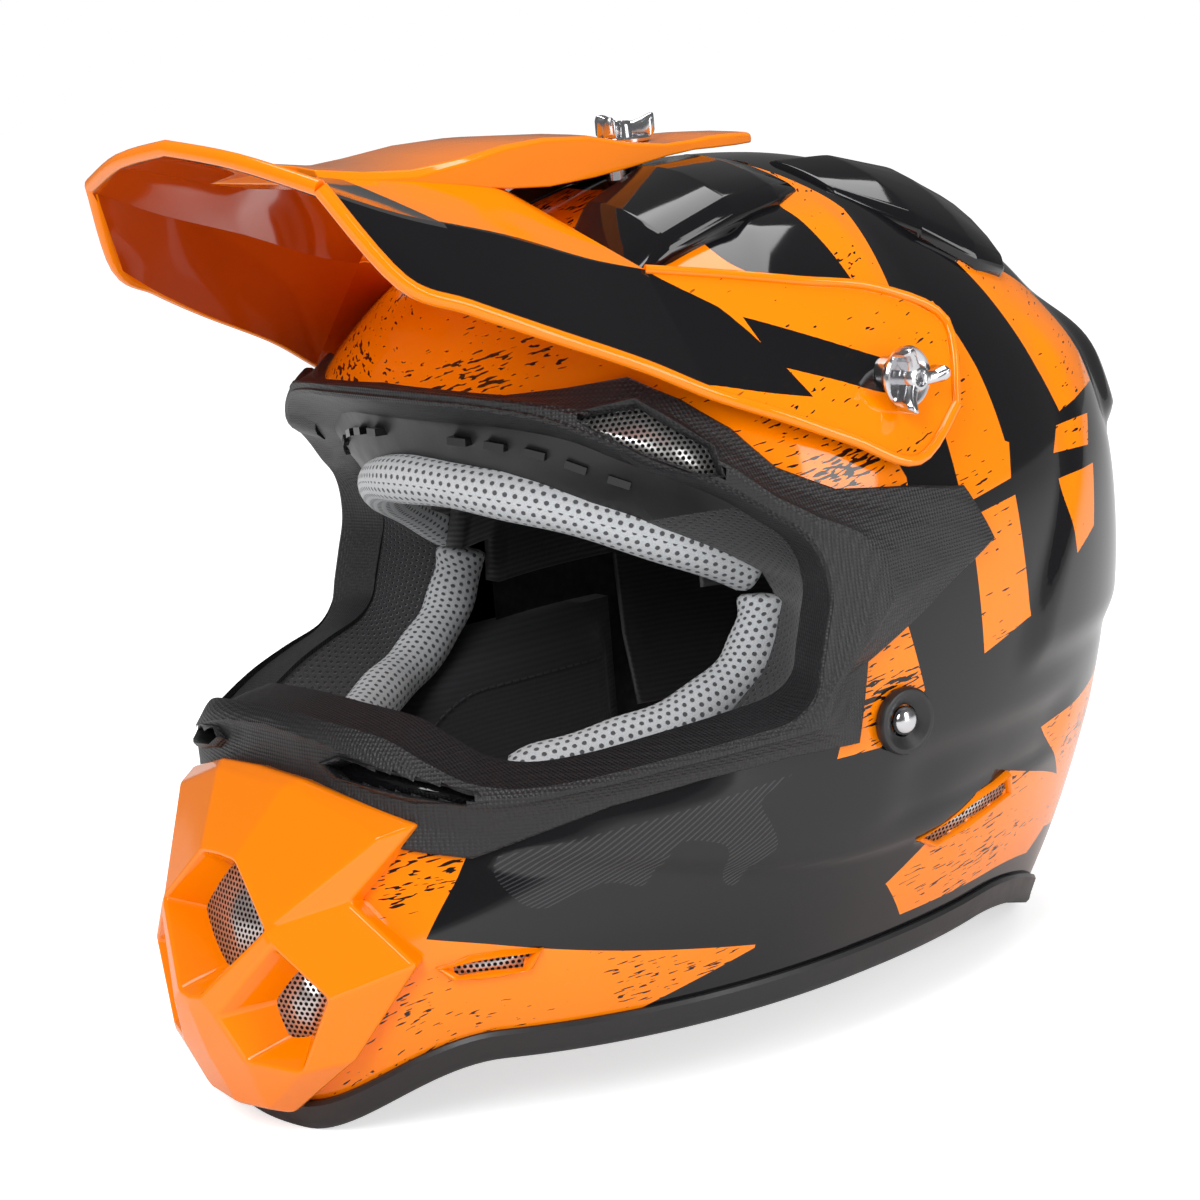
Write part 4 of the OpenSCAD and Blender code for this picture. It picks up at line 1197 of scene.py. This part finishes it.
def cheek_pad(s, end):
    """Side pad: a quilted block with a rounded inner face."""
    columns, rows = 30, 18
    verts = []
    for i in range(rows):
        for j in range(columns):
            y = mix(-112, 29, j / (columns - 1))
            z = mix(27, pad_top(y), i / (rows - 1))
            x = pad_depth(y, min(i, rows - 1 - i) / 3, min(j, columns - 1 - j) / 4)
            verts.append(Vector((s * x, y, z)))
    # The outer face is flat, and turns in ahead of y = -60.
    back = [Vector((s * (84 - 0.5 * max(0, -60 - v.y)), v.y, v.z)) for v in verts]
    n, last = len(verts), (rows - 1) * columns
    faces = grid_faces(rows, columns)
    faces += [tuple(n + i for i in reversed(f)) for f in faces]
    rim = list(range(columns)) + [i * columns + columns - 1 for i in range(1, rows)]
    rim += [last + j for j in range(columns - 2, -1, -1)] + [i * columns for i in range(rows - 2, 0, -1)]
    faces += [(i, j, n + j, n + i) for i, j in zip(rim, rim[1:] + rim[:1])]
    piece = mesh_piece(f"cheek_block_{end}", verts + back, faces, cloth_dark, 60)
    settle(piece, stands_for=(f"cheek_pad_{end}",))
    for share, row in ((0.8, "upper"), (0.2, "lower")):
        seam = []
        for k in range(40):
            y = mix(-90, 10, k / 39)
            z = mix(27, pad_top(y), share)
            seam.append((s * (pad_depth(y, 1, 1) - 0.2), y, z))
        blocks_along(f"cheek_stitches_{row}_{end}", seam, 3.4, (0.6, 0.6, 2.3), cloth_seam)


# The edge of the padding round the face, beside each point of half the eyeport.
FACE_EDGE = [
    (0, -101, 183), (9, -100.6, 182.9), (19, -98.8, 182), (30, -95, 180), (40, -89.5, 177.6),
    (48, -83.5, 174.5), (55, -76, 170.7), (61, -69, 166.5), (66, -61, 162.5), (71, -50, 157),
    (75, -38, 150), (76, -33, 141),
    (77, -37, 131), (77, -43, 121), (74.5, -55, 111), (70, -66, 105), (64, -79, 101), (57, -92, 98),
    (50, -103, 95), (44, -116, 90), (36, -124, 88), (26, -131, 86), (13, -136, 85), (0, -137, 85),
]


def inner_frame():
    """Perforated wall between the rubber and the rolls, with a plain black brow."""
    fine = 4
    frames = lip_frames(fine)
    whole = [Vector(p) for p in FACE_EDGE] + [flip(p) for p in FACE_EDGE[-2:0:-1]]
    n, columns = len(frames), 9
    verts = []
    for i, (a, z, _, _, p, deep, out) in enumerate(frames):
        k, u = divmod(i, fine)
        goal = whole[k].lerp(whole[(k + 1) % len(whole)], u / fine)
        start = p + deep * 10.5
        away = Vector((p.x, 0, p.z - EYE_HEART.z)).normalized()
        goal += away * 5.5
        for j in range(columns):
            share = j / (columns - 1)
            verts.append(start.lerp(goal, share) + away * 3.5 * math.sin(math.pi * share))
    # The brow's wall is plain and hard; the sides are padded with pierced cloth.
    for name, material, is_brow in (("brow_frame", rubber_smooth, True), ("side_lining", cloth_band, False)):
        def keep(i, j):
            return (frames[i][1] > 178) == is_brow

        piece = mesh_piece(name, verts, grid_faces(n, columns, wrap_rows=True, keep=keep), material, 80)
        run_map(piece, columns, (n, 0), lambda row, column: (row * 3.1 + 30, column * 4.4 + 30))
        with editing(piece.data) as bm:
            bmesh.ops.delete(bm, geom=[v for v in bm.verts if not v.link_faces], context="VERTS")
        settle(piece, stands_for=("impact_liner",))


def brow_slots():
    """A row of small air slots in the brow's black wall, each side of the middle."""
    frames = lip_frames(4)
    line = []
    for k, (a, z, _, _, p, deep, _) in enumerate(frames):
        if 14 < a < 50 and z > 180:
            step, u = divmod(k, 4)
            goal = Vector(FACE_EDGE[step]).lerp(Vector(FACE_EDGE[step + 1]), u / 4)
            line.append((p + deep * 10.5).lerp(goal, 0.34) + Vector((0, 0, 1.0)))
    for s, end in SIDES:
        blocks_along(f"brow_slots_{end}", sided(line, s), 11.0, (5.0, 2.4, 7.0), paint_black)


def lining_seam():
    """Stitches across the front of the crown lining."""
    line = [egg(mix(-68, 68, k / 60), 31, 15.4) for k in range(61)]
    blocks_along("lining_stitches", line, 3.4, (0.6, 0.6, 2.3), cloth_seam)


def foam_wall():
    """The foam between shell and lining, seen from below round the back of the opening."""
    rows = 73
    verts = []
    for i in range(rows):
        a = mix(76, 284, i / (rows - 1))
        a = a if a <= 180 else a - 360
        near = egg(a, 0, -0.5)
        outer = [skin(a, 78, -4.6), skin(a, 49, -4.6)]
        verts += outer + [Vector((near.x, near.y, outer[1].z)), Vector((near.x, near.y, 128))]
    piece = mesh_piece("foam_wall", verts, grid_faces(rows, 4), foam, 40)
    settle(piece)


# ---------------------------------------------------------------- scoops

# Edges of the hoods over the crown's air holes: inner and outer x, y and rise, row by row.
SCOOP = [(26, 56, -60, 2), (20, 60, -46, 8.5), (16, 63, -22, 9.5), (15, 62, -2, 6.5), (17, 56, 12, 1.5)]
EXHAUST = [(30, 60, 24, 1.5), (36, 82, 38, 5.5), (46, 90, 54, 6.5), (56, 88, 68, 5.5), (62, 80, 78, 1)]


def hood(name, rows, stands_for):
    """A crowned cover over an air hole, sunk into the shell at both edges."""
    section = [(0, -1), (0.03, 0.55), (0.12, 0.9), (0.3, 1), (0.5, 1.04), (0.7, 1), (0.88, 0.9), (0.97, 0.55),
               (1, -1)]
    for s, end in SIDES:
        rings = []
        for x0, x1, y, rise in rows:
            ring = [on_top(mix(x0, x1, u), y, rise * h if h > 0 else -1) for u, h in section]
            rings.append(sided(ring, s))
        piece = loft(f"{name}_{end}", rings, paint_black, smooth_to=24)
        modify(piece, bevel=0.8)
        soften(piece, 34)
        settle(piece, stands_for=(f"{stands_for}_{end}",))


# ---------------------------------------------------------------- build

shell()
trim()
framed_vent("brow_vent", BROW_VENT, 5.6, 2.2, rubber, stands_for="brow_mesh", rise=1.6)
framed_vent("chin_slot", CHIN_SLOT, 6.6, 2.6, rubber, plate=paint_black, rise=1.0, sunk=6.0)
framed_vent("chin_vent", CHIN_SIDE_VENT, 0.6, 2.4, paint_orange, stands_for="chin_side_mesh", sunk=0.9)
framed_vent("rear_vent", REAR_VENT, 0.4, 2.0, paint_orange, stands_for="rear_mesh", rise=1.2, sunk=0.7)
rim()
chin_cover()
peak()
hood("scoop", SCOOP, "intake_scoop")
hood("exhaust", EXHAUST, "exhaust_cover")
for s, end in SIDES:
    knob(f"{end}_knob", f"side_screw_{end}", (s * 119.5, -11, 208), (s, 0, 0), s * math.radians(20),
         f"peak_screw_{end}")
knob("top_knob", "top_screw", (0, -11, 277.5), (0, 0, 1), 0.3, "peak_screw_top")
for side in SIDES:
    rivet(*side)
padding()
inner_frame()
brow_slots()
lining_seam()
foam_wall()

CARRIED = {
    foam: ("chin_bar_foam",),
    metal: ("insert_left", "insert_right", "insert_top", "d_ring_inner", "d_ring_outer"),
    strap_cloth: ("chin_strap_left", "chin_strap_right"),
    rubber_smooth: ("strap_snap",),
}
for material, nodes in CARRIED.items():
    for node in nodes:
        for slot in bpy.data.objects[node].material_slots:
            slot.material = material

# ---------------------------------------------------------------- camera, lamps and floor


def camera():
    turn, rise, lean = math.radians(48.0), math.radians(8.1), math.radians(5.9)
    tip = Matrix.Rotation(lean, 3, "X")
    right = Vector((math.cos(turn), math.sin(turn), 0))
    up = Vector((-math.sin(turn) * math.sin(rise), math.cos(turn) * math.sin(rise), math.cos(rise)))
    back = Vector((math.sin(turn) * math.cos(rise), -math.cos(turn) * math.cos(rise), math.sin(rise)))
    rows = Matrix((right, up, back)) @ tip
    lens = bpy.data.cameras.new("camera")
    lens.sensor_width, lens.lens = 36, 90.015
    lens.shift_x, lens.shift_y = -0.0685, -0.0132
    lens.clip_start = 0.05
    eye = bpy.data.objects.new("camera", lens)
    place = Vector((0, 0, 0.130)) + rows[2] * 1.0007
    eye.matrix_world = Matrix.Translation(place) @ rows.transposed().to_4x4()
    bpy.context.scene.collection.objects.link(eye)
    bpy.context.scene.camera = eye


def lamp(name, place, target, size, power):
    light = bpy.data.lights.new(name, "AREA")
    light.shape, light.size, light.size_y, light.energy = "RECTANGLE", size[0], size[1], power
    piece = bpy.data.objects.new(name, light)
    piece.matrix_world = Matrix.Translation(place) @ (
        (Vector(target) - Vector(place)).to_track_quat("-Z", "Y").to_matrix().to_4x4())
    bpy.context.scene.collection.objects.link(piece)


def studio():
    edge = 6000
    floor = new_piece("floor", [(-edge, -edge, 0), (edge, -edge, 0), (edge, edge, 0), (-edge, edge, 0)],
                      [(0, 1, 2, 3)])
    looks = Looks("floor_paper", Base_Color=(0.9, 0.9, 0.9), Roughness=0.9, Emission_Color=(1.0, 1.0, 1.0))
    seen = looks.node("ShaderNodeLightPath", out="Is Camera Ray")
    looks.set(Emission_Strength=seen * 0.62)
    floor.data.materials.append(looks.material)
    world = bpy.data.worlds.new("studio")
    world.use_nodes = True
    bpy.context.scene.world = world
    # Strength 1 to the camera, 0.5 as light on the object, and 0.16 in reflections, which keeps black deep.
    tree = world.node_tree
    kinds = tree.nodes.new("ShaderNodeLightPath").outputs

    def step(kind, *values):
        node = tree.nodes.new("ShaderNodeMath")
        node.operation = kind
        for socket, value in zip(node.inputs, values):
            if isinstance(value, float):
                socket.default_value = value
            else:
                tree.links.new(value, socket)
        return node.outputs[0]

    straight = step("MAXIMUM", kinds["Is Camera Ray"], kinds["Is Transmission Ray"])
    strength = step("ADD", step("MULTIPLY", straight, 0.5), 0.5)
    strength = step("SUBTRACT", strength, step("MULTIPLY", kinds["Is Glossy Ray"], 0.34))
    ground = tree.nodes["Background"]
    ground.inputs["Color"].default_value = (1, 1, 1, 1)
    tree.links.new(strength, ground.inputs["Strength"])
    lamp("key", (0.7, -1.4, 1.2), (0, 0, 0.15), (0.7, 0.9), 17)
    lamp("side", (1.5, 0.35, 0.5), (0, 0, 0.15), (0.5, 1.4), 11)
    lamp("top", (-0.2, 0.2, 1.6), (0, 0, 0.2), (0.9, 0.9), 12)
    bpy.context.scene.view_settings.view_transform = "Standard"


camera()
studio()
